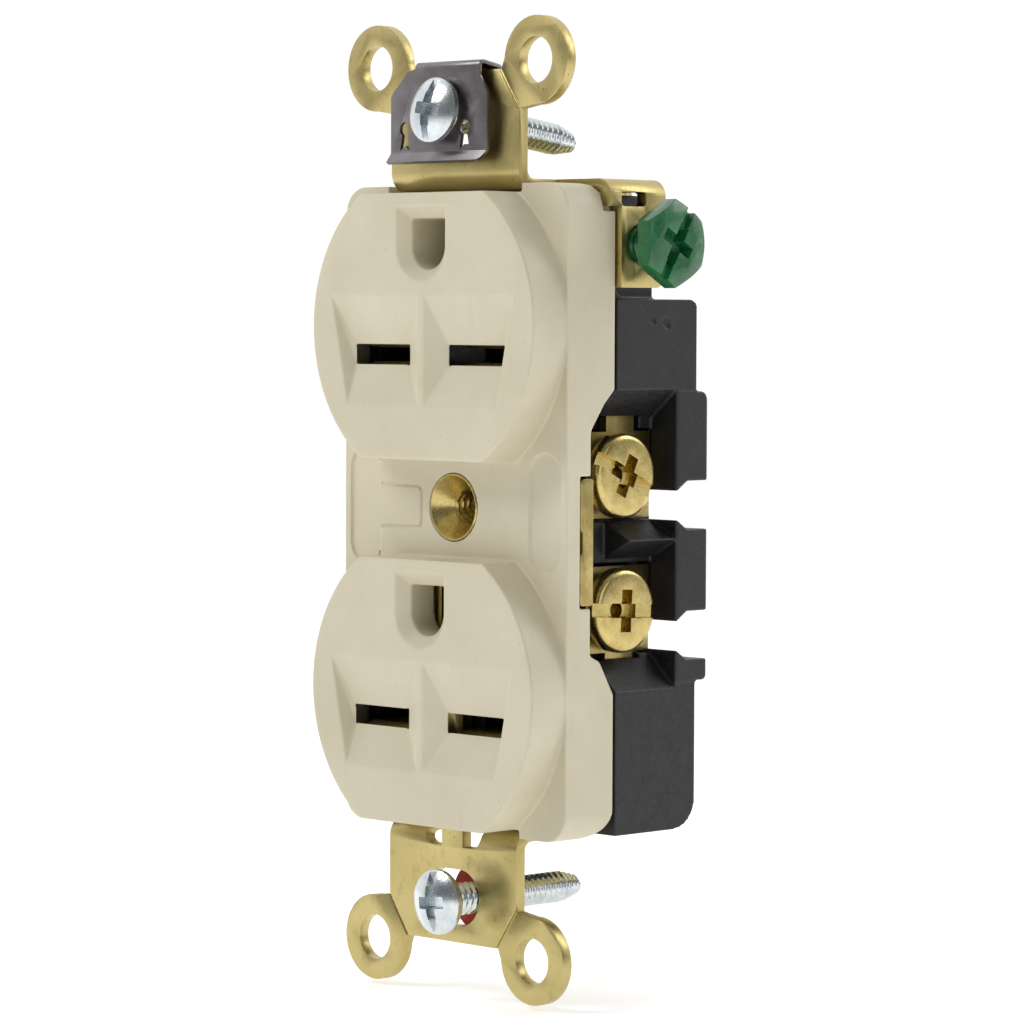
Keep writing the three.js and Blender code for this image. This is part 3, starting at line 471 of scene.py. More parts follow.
def rgba(red, green, blue):
    """A linear colour from an sRGB one, each channel 0 to 255."""
    def linear(value):
        value /= 255
        return value / 12.92 if value <= 0.04045 else ((value + 0.055) / 1.055) ** 2.4
    return (linear(red), linear(green), linear(blue), 1.0)


def ivory_plastic():
    shader = Shader("ivory_plastic", 0.42, Subsurface_Weight=0.06, Subsurface_Scale=0.0012)
    shader.surface.inputs["Subsurface Radius"].default_value = (1.0, 0.8, 0.5)
    clouds = shader.noise(0.09, 3, 0.6)
    tone = shader.mix(shader.span(clouds, 0.3, 0.7), rgba(205, 196, 170), rgba(214, 206, 182))
    streaks = shader.span(shader.noise(0.5, 5, 0.65, stretch=(1, 1, 0.25)), 0.56, 0.74, 0, 0.16)
    tone = shader.mix(streaks, tone, rgba(188, 178, 150))
    specks = shader.span(shader.cells(0.85), 0.05, 0.08, 0.5, 0)
    rare = shader.times(specks, shader.span(shader.noise(0.35, 2), 0.55, 0.6))
    shader.colour(shader.mix(rare, tone, rgba(120, 104, 74)))
    shader.roughness(shader.span(shader.noise(1.3, 5), 0.3, 0.7, 0.36, 0.52))
    shader.bump((shader.noise(6, 3), 0.012, 0.5), (shader.noise(0.25, 2), 0.12, 0.25))
    return shader.material


def black_plastic():
    shader = Shader("black_plastic", 0.46)
    tone = shader.mix(shader.span(shader.noise(0.4, 5), 0.35, 0.7), rgba(21, 21, 23), rgba(31, 30, 32))
    dust = shader.times(shader.span(shader.cells(1.6), 0.05, 0.09, 1, 0),
                        shader.span(shader.noise(0.5, 2), 0.5, 0.6))
    tone = shader.mix(dust, tone, rgba(122, 118, 112))
    scuffs = shader.span(shader.noise(2.2, 6, 0.7, stretch=(1, 0.2, 1)), 0.62, 0.75, 0, 0.3)
    shader.colour(shader.mix(scuffs, tone, rgba(66, 64, 64)))
    shader.roughness(shader.span(shader.noise(1.8, 5), 0.3, 0.7, 0.36, 0.58))
    shader.bump((shader.noise(5, 4), 0.02, 0.6), (shader.noise(0.4, 2), 0.15, 0.3))
    return shader.material


def rolled_brass(name, tarnish_and_shade_start, tarnish_and_shade_most):
    shader = Shader(name, 0.34, 1.0)
    tone = shader.mix(shader.span(shader.noise(0.12, 4), 0.3, 0.7), rgba(184, 167, 108), rgba(203, 187, 130))
    # Random darker tarnish; where a copy spreads it over most of the surface, it is painted shade as well as
    # tarnish.
    tarnish_and_shade = shader.span(shader.noise(0.55, 6, 0.7), tarnish_and_shade_start, 0.76, 0, tarnish_and_shade_most)
    tone = shader.mix(tarnish_and_shade, tone, rgba(142, 122, 70))
    spots = shader.times(shader.span(shader.cells(1.1), 0.06, 0.12, 1, 0),
                         shader.span(shader.noise(0.4, 2), 0.52, 0.6))
    shader.colour(shader.mix(shader.times(spots, 0.85), tone, rgba(84, 66, 36)))
    grain = shader.noise(3.2, 5, 0.6, stretch=(3.5, 1, 0.15))
    shader.roughness(shader.span(grain, 0.3, 0.7, 0.26, 0.44))
    shader.bump((grain, 0.01, 0.35), (shader.noise(0.7, 3), 0.05, 0.25))
    return shader.material


def machined_brass():
    shader = Shader("machined_brass", 0.24, 1.0)
    tone = shader.mix(shader.span(shader.noise(0.8, 5), 0.3, 0.7), rgba(186, 164, 98), rgba(214, 196, 134))
    stains = shader.span(shader.noise(1.6, 6, 0.7), 0.58, 0.76, 0, 0.6)
    shader.colour(shader.mix(stains, tone, rgba(118, 92, 46)))
    scratches = shader.noise(7, 4, 0.7, stretch=(1, 2.5, 0.3))
    shader.roughness(shader.span(scratches, 0.3, 0.7, 0.16, 0.34))
    shader.bump((scratches, 0.012, 0.5), (shader.noise(1.1, 3), 0.05, 0.3))
    return shader.material


def spring_steel():
    shader = Shader("spring_steel", 0.36, 1.0)
    tone = shader.mix(shader.span(shader.noise(0.2, 4), 0.3, 0.7), rgba(112, 108, 110), rgba(148, 143, 144))
    rust = shader.span(shader.noise(1.1, 6, 0.72), 0.62, 0.78, 0, 0.5)
    shader.colour(shader.mix(rust, tone, rgba(92, 74, 62)))
    lines = shader.noise(4, 5, 0.6, stretch=(0.12, 1, 4))
    shader.roughness(shader.span(lines, 0.3, 0.7, 0.28, 0.46))
    shader.bump((lines, 0.008, 0.4), (shader.noise(0.8, 3), 0.04, 0.3))
    return shader.material


def bright_zinc():
    shader = Shader("bright_zinc", 0.2, 1.0)
    tone = shader.mix(shader.span(shader.noise(0.7, 4), 0.3, 0.7), rgba(196, 206, 214), rgba(226, 230, 228))
    haze = shader.span(shader.noise(2.4, 6, 0.7), 0.58, 0.75, 0, 0.4)
    shader.colour(shader.mix(haze, tone, rgba(150, 152, 146)))
    scratches = shader.noise(8, 4, 0.7, stretch=(0.3, 1, 1.5))
    shader.roughness(shader.span(scratches, 0.3, 0.7, 0.14, 0.32))
    shader.bump((scratches, 0.01, 0.5), (shader.noise(1.3, 3), 0.03, 0.3))
    return shader.material


def red_fibre():
    shader = Shader("red_fibre", 0.8)
    tone = shader.mix(shader.span(shader.noise(1.2, 6), 0.3, 0.7), rgba(140, 38, 30), rgba(176, 60, 48))
    fibres = shader.noise(5, 5, 0.7, stretch=(0.3, 1, 2))
    shader.colour(shader.mix(shader.span(fibres, 0.55, 0.75, 0, 0.5), tone, rgba(104, 26, 22)))
    shader.roughness(shader.span(fibres, 0.3, 0.7, 0.7, 0.9))
    shader.bump((fibres, 0.03, 0.6))
    return shader.material


def green_lacquer():
    shader = Shader("green_lacquer", 0.28, Coat_Weight=0.4, Coat_Roughness=0.12)
    tone = shader.mix(shader.span(shader.noise(0.6, 4), 0.3, 0.7), rgba(12, 78, 42), rgba(26, 112, 60))
    pooled = shader.span(shader.noise(1.8, 5), 0.58, 0.72, 0, 0.6)
    tone = shader.mix(pooled, tone, rgba(8, 62, 32))
    chips = shader.times(shader.edges(0.56, 0.64), shader.span(shader.noise(1.7, 5, 0.7), 0.55, 0.64))
    scratches = shader.span(shader.noise(3.4, 5, 0.75, stretch=(1, 0.25, 2)), 0.69, 0.74, 0, 0.3)
    tone = shader.mix(scratches, tone, rgba(176, 206, 184))
    shader.colour(shader.mix(shader.times(chips, 0.45), tone, rgba(168, 196, 172)))
    shader.roughness(shader.span(shader.noise(2.5, 4), 0.3, 0.7, 0.2, 0.42))
    shader.bump((shader.noise(2.2, 4), 0.04, 0.5))
    return shader.material


IVORY = ivory_plastic()
BLACK = black_plastic()
BRASS = rolled_brass("rolled_brass", 0.56, 0.55)
# Painted shade: a copy of the rolled brass with its darker tarnish colour spread over most of it, standing
# for the shade on the terminal strips' fins.
SHADED_BRASS = rolled_brass("shaded_brass", 0.2, 1.0)
SCREW_BRASS = machined_brass()
STEEL = spring_steel()
ZINC = bright_zinc()
FIBRE = red_fibre()
GREEN = green_lacquer()


# ---------- front cover ----------
def face_outline(z, inset=0.0):
    """A face: a circle with a flat above and below."""
    radius, flat = FACE_RADIUS - inset, FACE_FLAT - inset
    angle = math.degrees(math.asin(flat / radius))
    return arc(0, z, radius, -angle, angle, 40) + arc(0, z, radius, 180 - angle, 180 + angle, 40)


def ground_ring(z, y, margin):
    """The ground opening: flat on top, round below, grown by a margin."""
    radius = GROUND_RADIUS + margin
    lower = arc(0, z + GROUND_Z, radius, 180, 360, 24)
    top = z + GROUND_TOP + margin
    return [(radius, y, top), (-radius, y, top)] + [(x, y, rise) for x, rise in lower]


def face_cuts(z):
    """The ground funnel and the two four-sided pockets that lead to the blade slots."""
    tools = [
        loft(ground_ring(z, FACE_FRONT - 0.05, 1.4), ground_ring(z, FACE_FRONT + 1.2, 0)),
        loft(ground_ring(z, FACE_FRONT, 0), ground_ring(z, COVER_REAR, 0)),
    ]
    for side in (-1, 1):
        mouth = [(side * 14.1, 3.5), (side * 0.35, 3.5), (side * 0.35, -8.6), (side * 11.5, -8.6)]
        slot = [(side * BLADE_OUTER, BLADE_Z + 1), (side * BLADE_INNER, BLADE_Z + 1),
                (side * BLADE_INNER, BLADE_Z - 1), (side * BLADE_OUTER, BLADE_Z - 1)]
        tools.append(loft([(x, FACE_FRONT - 0.05, z + v) for x, v in mouth],
                          [(x, FACE_FRONT + 1.4, z + v) for x, v in slot]))
        tools.append(loft([(x, FACE_FRONT, z + v) for x, v in slot],
                          [(x, COVER_REAR, z + v) for x, v in slot]))
    return tools


def strip_line():
    """The fine moulded line left of the insert, around a low panel that is open to the left."""
    left, right, top, bottom, reach = -11.5, -4.9, 2.35, -2.25, 6.4
    path = [(left, reach), (left, top), (right, top), (right, bottom), (left, bottom), (left, -reach)]
    return prism(bent_sheet(path, 0.35, 0.8), "y", STRIP_FRONT - 1, STRIP_FRONT + 0.25)


def front_cover():
    width, height = COVER_HIGH.x, COVER_HIGH.z
    plan = round_rect(-width, width, -height, height, 3.0, 10)
    shell = prism(plan, "y", STRIP_FRONT, COVER_REAR, "front_cover")
    join(shell, [prism(face_outline(z), "y", FACE_FRONT, 0) for z in FACE_Z.values()])
    room_x, room_z = width - WALL, NOTCH_Z - WALL
    tools = [box(-room_x, room_x, STRIP_FRONT + WALL, COVER_REAR + 1, -room_z, room_z)]
    tools += [prism(face_outline(z, WALL), "y", FACE_FRONT + WALL, COVER_REAR) for z in FACE_Z.values()]
    rear_round = 3.2
    for end in (-1, 1):
        tools.append(box(-NOTCH_HALF_WIDTH, NOTCH_HALF_WIDTH, STRIP_FRONT - 1, COVER_REAR + 1,
                         *outward(end, NOTCH_Z, height + 1)))
        centre = (COVER_REAR - rear_round, end * (height - rear_round))
        corner = arc(*centre, rear_round, 90 * end, 0, 10)
        tools.append(prism(corner + [(COVER_REAR + 1, centre[1]), (COVER_REAR + 1, end * (height + 1)),
                                     (centre[0], end * (height + 1))], "x", -width - 1, width + 1))
    for side in (-1, 1):
        bay = rounded([(COVER_REAR + 1, 13.6), (COVER_REAR, 12.9, 0.4), (4.3, 11.4, 1.6), (2.3, 8.6, 1.4),
                       (2.3, -15.0, 0.5), (3.7, -15.6, 0.8), (COVER_REAR, -19.2, 0.3),
                       (COVER_REAR + 1, -19.6)])
        across = outward(side, width - WALL - 0.1, width + 1)
        tools.append(prism(bay, "x", *across))
        tools.append(box(*across, 0.75, 2.95, -10.0, 3.9))
        pill = round_rect(side * PILL_X - PILL_HALF_WIDTH, side * PILL_X + PILL_HALF_WIDTH,
                          -PILL_HALF_HEIGHT, PILL_HALF_HEIGHT, PILL_RADIUS, 10)
        tools.append(prism(pill, "y", STRIP_FRONT - 1, STRIP_FRONT + 0.3))
    seat = revolve("tool", [(0, STRIP_FRONT - 0.01), (3.7, STRIP_FRONT - 0.01), (3.7, STRIP_FRONT + 0.35),
                            (2.6, STRIP_FRONT + 1.45), (2.6, 3), (0, 3)])
    tools += [
        moved(seat, at(0, 0, INSERT_Z)),
        box(-1.9, 1.9, -SHEET - 0.3, 0.3, -height - 1, -NOTCH_Z + WALL + 1),
        box(16.25, width + 1, 4.0, COVER_REAR + 1, 31.6, height + 1),
        box(STRAP_HALF, width + 1, 4.0, COVER_REAR + 1, NOTCH_Z, height + 1),
        strip_line(),
    ]
    for z in FACE_Z.values():
        tools += face_cuts(z)
    cut(shell, tools)
    inside = FACE_FRONT + WALL - 0.1
    join(shell, [loft(ground_ring(z, inside, TUBE_WALL), ground_ring(z, TUBE_END[level], TUBE_WALL))
                 for level, z in FACE_Z.items()])
    cut(shell, [loft(ground_ring(z, FACE_FRONT, 0), ground_ring(z, COVER_REAR, 0)) for z in FACE_Z.values()])
    return moulded(shell, 0.13, 2)


# ---------- rear body ----------
def rear_body():
    width, top, bottom = BODY_HIGH.x - 0.1, BODY_HIGH.z, BODY_LOW.z
    skirt = COVER_REAR + 0.3
    rear, shoulder, raised_rear = BODY_REAR, 22.4, 15.1
    fillet_radius, web_half = 2.2, 13.6
    channel, channel_floor = WEB_HALF + 0.3, WEB_REAR - SHEET - 0.3
    side = rounded([(skirt, bottom), (rear, bottom, 3.2), (rear, shoulder, 1.0), (skirt, shoulder)])
    body = prism(side, "x", -width, width, "rear_body")
    inner = COVER_HIGH.x - WALL - 0.3
    inner_z = NOTCH_Z - WALL - 0.3
    web_side = rounded([(skirt, shoulder - 1), (raised_rear, shoulder - 1),
                        (raised_rear, top, 1.6), (skirt, top)])
    web = prism(web_side, "x", -web_half, web_half)
    hollow = arc(skirt + fillet_radius, shoulder + fillet_radius, fillet_radius, 270, 180, 8)
    fillet_side = [(skirt, shoulder - 1), (skirt + fillet_radius, shoulder - 1), *hollow]
    fillet = prism(fillet_side, "x", 0.5 - width, width - 0.5)
    parts = [box(-inner, inner, BODY_LOW.y, skirt + 1, -inner_z, inner_z), web, fillet,
             box(-channel, channel, raised_rear - 1, channel_floor, shoulder - 1, top)]
    for s in (-1, 1):
        block = rounded([(BAY_REAR, BLOCK_BOTTOM), (BLOCK_REAR, BLOCK_BOTTOM, 0.5),
                         (BLOCK_REAR, BLOCK_TOP, 0.9), (BAY_REAR, BLOCK_TOP)])
        parts.append(prism(block, "x", *outward(s, 8.2, width + 0.1)))
    join(body, parts)
    tools = [
        box(-channel, channel, channel_floor, rear + 1, bottom - 1, top + 1),
        box(-STRAP_HALF - 0.3, STRAP_HALF + 0.3, skirt - 1, rear + 1, bottom - 1, -top),
        box(-5, 5, BODY_LOW.y - 1, 2.1, -8.6, 5),
        rod("y", 0, INSERT_Z, 3.0, BODY_LOW.y - 1, 12),
    ]
    tools += [rod("y", 0, z, ASSEMBLY_HOLE, BODY_LOW.y - 1, rear) for z in ASSEMBLY_Z]
    for s in (-1, 1):
        outer = BAY_X + 4.2
        bay = [(s * BAY_X, 9.8), (s * outer, 13.3), (s * outer, -19.5), (s * BAY_X, -15.6)]
        tools.append(prism(bay, "y", BODY_LOW.y - 1, BAY_REAR))
        for middle in NOTCH_MIDDLES:
            below = [(y, middle - half, *radius) for y, half, *radius in NOTCH_SIDE]
            above = [(y, middle + half, *radius) for y, half, *radius in NOTCH_SIDE[::-1]]
            tools.append(prism(rounded(below + above), "x", *outward(s, 10.2, width + 1)))
            tools.append(box(*outward(s, 7.2, width + 1), rear, BLOCK_REAR + 1,
                             middle - NOTCH_MOUTH_HALF, middle + NOTCH_MOUTH_HALF))
        for level, _ in LEVELS:
            z = TERMINAL_Z[level]
            tools.append(box(*outward(s, 5.6, BAY_X + 0.1), BODY_LOW.y - 1, BAY_REAR, z - 4.9, z + 4.9))
            for offset in (-WIRE_HOLE_Z, WIRE_HOLE_Z):
                tools.append(rod("y", s * WIRE_HOLE_X, z + offset, WIRE_HOLE_RADIUS, 14, BLOCK_REAR + 1, 32))
            blade = FACE_Z[level] + BLADE_Z
            tools.append(box(*outward(s, 2.9, 13.6), BODY_LOW.y - 1, 13.6, blade - 2.7, blade + 2.7))
            tools.append(box(*outward(s, 12.0, 13.6), BODY_LOW.y - 1, 13.3, *sorted((blade, z))))
        for y, z, size in ((11.6, 20.2, 0.45), (13.6, 19.9, 0.6)):
            tools.append(rod("x", y, z, size, *outward(s, width - 0.25, width + 1), 20))
    for z in FACE_Z.values():
        tools.append(box(-3.6, 3.6, BODY_LOW.y - 1, BAY_REAR, z + GROUND_Z - 3.2, z + GROUND_Z + 3.2))
        tools.append(rod("y", 0, z + GROUND_Z, GROUND_RIVET_HOLE, 15, rear + 1))
    cut(body, tools)
    barriers = []
    for s in (-1, 1):
        wedge = [(s * (BAY_X - 0.2), -1.2), (s * (width + 0.1), -3.1), (s * (BAY_X - 0.2), -5.2)]
        barriers.append(prism(wedge, "y", 8.1, BAY_REAR + 0.2))
    join(body, barriers)
    return moulded(body, 0.15, 2)


# ---------- mounting strap ----------
def ear(s, end):
    neck = [(s * STRAP_HALF, end * 42.3), (s * (EAR_X + 1.6), end * (EAR_Z - 4.35)),
            (s * (EAR_X - 4.62), end * (EAR_Z + 0.4)), (s * 7.1, end * STRAP_TOP), (s * 6.7, end * 46.1),
            (s * 9.4, end * 42.3)]
    piece = prism(neck, "y", -SHEET, 0)
    join(piece, [rod("y", s * EAR_X, end * EAR_Z, EAR_RADIUS, -SHEET, 0, 72)])
    return cut(piece, [rod("y", s * EAR_X, end * EAR_Z, 2.45, -SHEET - 1, 1, 56)])


def mounting_strap():
    half = SHEET / 2
    shelf, back = SHELF_TOP - half, WEB_REAR - half
    upper_half = [(-half, STRAP_TOP), (-half, shelf), (back, shelf)]
    path = upper_half + [(y, -z) for y, z in upper_half[::-1]]
    strap = prism(bent_sheet(path, SHEET, 1.57), "x", -STRAP_HALF, STRAP_HALF, "mounting_strap")
    tools = []
    for s in (-1, 1):
        tools.append(box(*outward(s, WEB_HALF, STRAP_HALF + 1), 14.6, WEB_REAR + 1,
                         -SHELF_TOP - 1, SHELF_TOP + 1))
        for end in (-1, 1):
            corner = [(s * STRAP_HALF, end * 42.3), (s * (STRAP_HALF + 1), end * 42.3),
                      (s * (STRAP_HALF + 1), end * (STRAP_TOP + 1)), (s * 7.1, end * (STRAP_TOP + 1)),
                      (s * 7.1, end * STRAP_TOP)]
            tools.append(prism(corner, "y", -SHEET - 1, 1))
    for end in (-1, 1):
        slot = round_rect(-4.16, 4.16, end * MOUNT_Z - 3.05, end * MOUNT_Z + 3.05, 3.0, 12)
        tools.append(prism(slot, "y", -SHEET - 1, 1))
    window = round_rect(-4.25, 4.25, -36.2, -30, 1.2)
    tools.append(prism(window, "y", -SHEET - 1, 12))
    tools += [rod("y", 0, z + GROUND_Z, GROUND_RIVET_HOLE, 16, WEB_REAR + 1) for z in FACE_Z.values()]
    tools += [rod("y", 0, z, ASSEMBLY_HOLE, 16, WEB_REAR + 1) for z in ASSEMBLY_Z]
    cut(strap, tools)

    low_ground = FACE_Z["lower"] + GROUND_Z
    jog_top = low_ground + 4.05
    jog_bottom = jog_top - 1.1
    eye_front, eye_rear = 0.5, 0.5 + SHEET
    wide, narrow = 4.8, 1.6
    tongue = box(-narrow, narrow, -SHEET, 0, -36.5, jog_top)
    join(tongue, [
        rod("y", 0, ASSEMBLY_Z[1], 3.2, -SHEET, 0),
        box(-wide, wide, -SHEET, 0, low_ground - 4.9, jog_bottom),
        box(-wide, wide, -SHEET, eye_rear, jog_bottom, jog_top),
        box(-narrow, narrow, eye_front, eye_rear, jog_bottom, INSERT_Z),
        rod("y", 0, INSERT_Z, 4.4, eye_front, eye_rear),
    ])
    cut(tongue, [
        box(-3.1, 3.1, -SHEET - 1, 1, low_ground - 3.3, jog_bottom),
        rod("y", 0, ASSEMBLY_Z[1], ASSEMBLY_HOLE, -SHEET - 1, 1), rod("y", 0, INSERT_Z, 2.7, 0, 3),
    ])

    outer, front, rear, foot, foot_round = 17.82, 4.3, 12.6, 23.6, 1.4
    tab_path = [(STRAP_HALF - 0.5, shelf), (outer - half, shelf), (outer - half, foot)]
    tab = prism(bent_sheet(tab_path, SHEET, 1.2), "y", front, rear)
    cut(tab, [
        box(outer - SHEET - 1, outer + 1, front - 1, 5.95, foot - 1, 32.1),
        prism(rounded([(5.9, 32.1, 0.5), (9.6, 32.1, 0.5), (9.6, 33.63, 0.3), (5.9, 33.63, 0.3)]), "x",
              outer - SHEET - 1, outer + 1),
        rod("x", *GROUND_SCREW_AT[1:], SCREW_HOLE, outer - SHEET - 1, outer + 1),
        prism([(rear + 0.1, foot - 0.1), (rear - foot_round, foot - 0.1)]
              + arc(rear - foot_round, foot + foot_round, foot_round, -90, 0, 6)[1:]
              + [(rear + 0.1, foot + foot_round)], "x", outer - SHEET - 1, outer + 1),
    ])
    join(strap, [ear(s, end) for s in (-1, 1) for end in (-1, 1)] + [tongue, tab])
    scores = []
    for s in (-1, 1):
        for end in (-1, 1):
            low, high = Vector((s * 9.9, end * 42.2)), Vector((s * 6.9, end * 46.6))
            normal = Vector((-(high - low).y, (high - low).x)).normalized() * 0.16
            line = [tuple(low + normal), tuple(high + normal), tuple(high - normal), tuple(low - normal)]
            scores.append(prism(line, "y", -SHEET - 0.2, -SHEET + 0.14))
    cut(strap, scores)
    return bevelled(strap, 0.1, 2)


# ---------- screws ----------
def cross_recess(reach, depth, width=1.0):
    """A four-winged driver recess along +Y, narrower at its floor."""
    tools = []
    for turn in (0, 90):
        def ring(y, long, short):
            points = [(long, short), (-long, short), (-long, -short), (long, -short)]
            if turn:
                points = [(v, u) for u, v in points]
            return [(u, y, v) for u, v in points]
        tools.append(loft(ring(-0.4, reach, width / 2), ring(depth, reach * 0.8, width * 0.4)))
    return tools


def slot_tool(half_length, half_width, depth):
    return box(-half_width, half_width, -1, depth, -half_length, half_length)


def dome(radius, height, steps=10):
    """A dome's profile from its middle at y = 0 out to its rim."""
    ball = (radius * radius + height * height) / (2 * height)
    spread = math.asin(radius / ball)
    angles = [spread * i / steps for i in range(steps + 1)]
    return [(ball * math.sin(angle), ball * (1 - math.cos(angle))) for angle in angles]


def shank_profile(radius, start, end, point, pitch, tip):
    """A threaded shank's profile, with a taper over its last stretch."""
    count = int((end - start) / pitch * STEPS_PER_TURN)
    profile = []
    for i in range(count + 1):
        y = start + (end - start) * i / count
        shrink = max(0.0, (y - (end - point)) / point)
        profile.append((radius - (radius - tip) * shrink, y, True))
    return profile


def on_shank(name, head, radius, start, thread_start, end, taper, tip, pitch=MACHINE_PITCH):
    """A head joined to its threaded shank."""
    threads = shank_profile(radius, thread_start, end, taper, pitch, tip)
    shank = revolve(name, [(0, start), (radius, start), *threads, (0, end)], 40,
                    thread=screw_thread(pitch, THREAD_DEPTH))
    return join(shank, [head])


def mounting_screw(name, lean):
    crown = dome(radius=3.3, height=0.95)
    head = revolve("tool", crown + [(3.45, 1.05), (3.45, 1.6), (3.3, 1.8), (0, 1.8)], 72)
    slot = slot_tool(half_length=4.5, half_width=0.5, depth=0.9)
    cut(head, [slot, *cross_recess(reach=1.95, depth=1.6, width=1.35)])
    shank = on_shank(name, head, radius=1.75, start=1.5, thread_start=1.8, end=22.0, taper=2.6, tip=1.08)
    return moved(smooth(shank, 45), Matrix.Rotation(lean, 4, "Y"))


def terminal_screw(name, side, lean):
    rim = (HEAD_HIGH.z - HEAD_LOW.z) / 2
    profile = [(0, 0.06), (1.2, 0.05), (rim - 0.75, 0), (rim - 0.35, 0.08), (rim - 0.08, 0.34), (rim, 0.8)]
    head = revolve("tool", profile + [(rim, 1.65), (rim - 0.15, 1.9), (0, 1.9)], 80)
    slot = slot_tool(half_length=5.5, half_width=0.72, depth=0.75)
    cut(head, [slot, *cross_recess(reach=2.35, depth=1.75, width=1.6)])
    shank = on_shank(name, head, radius=2.0, start=1.6, thread_start=1.9, end=9.8, taper=0.6, tip=1.6)
    recess_middle = revolve("tool", [(0, -0.5), (1.15, -0.5), (0.7, 3.4), (0, 3.4)], 32)
    cut(shank, [recess_middle])
    smooth(shank, 40)
    turn = Matrix.Rotation(side * math.pi / 2, 4, "Z") @ Matrix.Rotation(lean, 4, "Y")
    return moved(shank, turn)


def ground_screw():
    across_flats = 8.1
    corner = across_flats / 2 / math.cos(math.pi / 6)
    head = prism(arc(0, 0, corner, 30, 330, 5), "y", 0, 2.0)
    crown = revolve("tool", [(0, 0), (4.0, 0), (4.9, 0.55), (4.9, 2.4), (0, 2.4)], 72)
    head = combine(head, [crown], "INTERSECT")
    slot = slot_tool(half_length=6, half_width=0.55, depth=0.85)
    driver = [slot, *cross_recess(reach=2.3, depth=1.6, width=1.4)]
    driver_turn = Matrix.Rotation(math.radians(30), 4, "Y")
    cut(head, [moved(tool, driver_turn) for tool in driver])
    bevelled(head, 0.14, 3)
    shank = on_shank("ground_screw", head, radius=2.0, start=1.7, thread_start=2.0, end=8.8, taper=0.6,
                     tip=1.6, pitch=1.0)
    return moved(smooth(shank, 40), Matrix.Rotation(math.pi / 2, 4, "Z"))


def rivet(name, front, neck, head, rear, tail):
    profile = [(0, front), (head * 0.8, front), (head, front + 0.25), (head, front + 0.6),
               (neck, front + 0.6), (neck, rear - 0.6), (tail, rear - 0.6),
               (tail, rear - 0.3), (tail * 0.72, rear), (0, rear)]
    return smooth(revolve(name, profile, 40))


def assembly_screw(name):
    pitch = 0.9
    profile = [(0, 18.4), (2.8, 18.4), (2.75, 19.0), (2.2, 19.6), (1.4, 19.95), (0, 20.0)]
    head = revolve("tool", profile, 56)
    wings = [box(-1.7, 1.7, 19.1, 21, -0.32, 0.32), box(-0.32, 0.32, 19.1, 21, -1.7, 1.7)]
    cut(head, wings)
    count = int(22.6 / pitch * STEPS_PER_TURN)
    threads = [(1.6 - 0.4 * max(0.0, 1 - i / 10), -4.2 + 22.6 * i / count, True) for i in range(count + 1)]
    shank = revolve(name, [(0, -4.2), *threads, (1.6, 18.7), (0, 18.7)], 32, thread=screw_thread(pitch, 0.25))
    join(shank, [head])
    return smooth(shank, 40)


def center_insert():
    crest, rear = 1.75, 4.4
    inner = [(crest, STRIP_FRONT + 1.9)]
    count = int((rear - STRIP_FRONT - 2.1) / MACHINE_PITCH * STEPS_PER_TURN)
    reach = 4.3 - STRIP_FRONT - 2.1
    inner += [(crest, STRIP_FRONT + 2.1 + reach * i / count, True) for i in range(count + 1)]
    groove = screw_thread(MACHINE_PITCH, THREAD_DEPTH)
    outer = [(crest, rear), (2.5, rear), (2.5, STRIP_FRONT + 1.4), (3.5, STRIP_FRONT + 0.4),
             (3.6, STRIP_FRONT + 0.3), (3.6, STRIP_FRONT + 0.08), (3.5, STRIP_FRONT), (3.42, STRIP_FRONT)]
    piece = revolve("center_insert", inner + outer, 72, closed=True, thread=lambda a, y: -groove(a, y))
    return moved(smooth(piece, 30), at(0, 0, INSERT_Z))


# ---------- spring clip and flat stampings ----------
def grounding_clip():
    plane, foot, top = -2.5, 37.9, 47.45
    path = [(plane - 0.75, CLIP_LOW.z + 0.1), (plane, foot), (plane, top), (0.55, top - 0.55), (0.55, 44.0)]
    clip = prism(bent_sheet(path, 0.4, 0.45), "x", CLIP_LOW.x, CLIP_HIGH.x, "self_grounding_clip")
    left, right = CLIP_LOW.x, CLIP_HIGH.x
    tools = [
        prism([(left - 1, 43.9), (left, 43.9), (-8.1, 44.4), (-5.8, 46.6), (-4.6, 46.9), (-4.6, 49),
               (left - 1, 49)], "y", plane - 2, 2),
        prism([(right + 1, 44.2), (right, 44.2), (5.2, 45.9), (5.2, 49), (right + 1, 49)], "y", plane - 2, 2),
        prism([(right + 1, 36), (right + 1, 39), (right + 0.01, 39)] + arc(right - 1.4, 38.3, 1.4, 0, -90, 8)
              + [(4.4, 36)], "y", plane - 2, plane + 2),
        rod("y", UPPER_X, 42.15, 2.05, plane - 1, plane + 1),
    ]
    for x in (-6.2, 3.0):
        tools.append(rod("y", x, 40.5, 0.78, plane - 1, plane + 1, 28))
        tools.append(prism([(x - 0.3, 40.5), (x + 0.3, 40.5), (x + 0.75, 38.2), (x, 38.7), (x - 0.75, 38.2)],
                           "y", plane - 1, plane + 1))
    cut(clip, tools)
    return bevelled(clip, 0.06, 2)


def retainer():
    section = [(1.85, 0.35), (3.65, 0.35), (3.75, 0.45), (3.75, 1.05), (3.65, 1.15), (1.85, 1.15)]
    return smooth(revolve("lower_screw_retainer", section, closed=True))


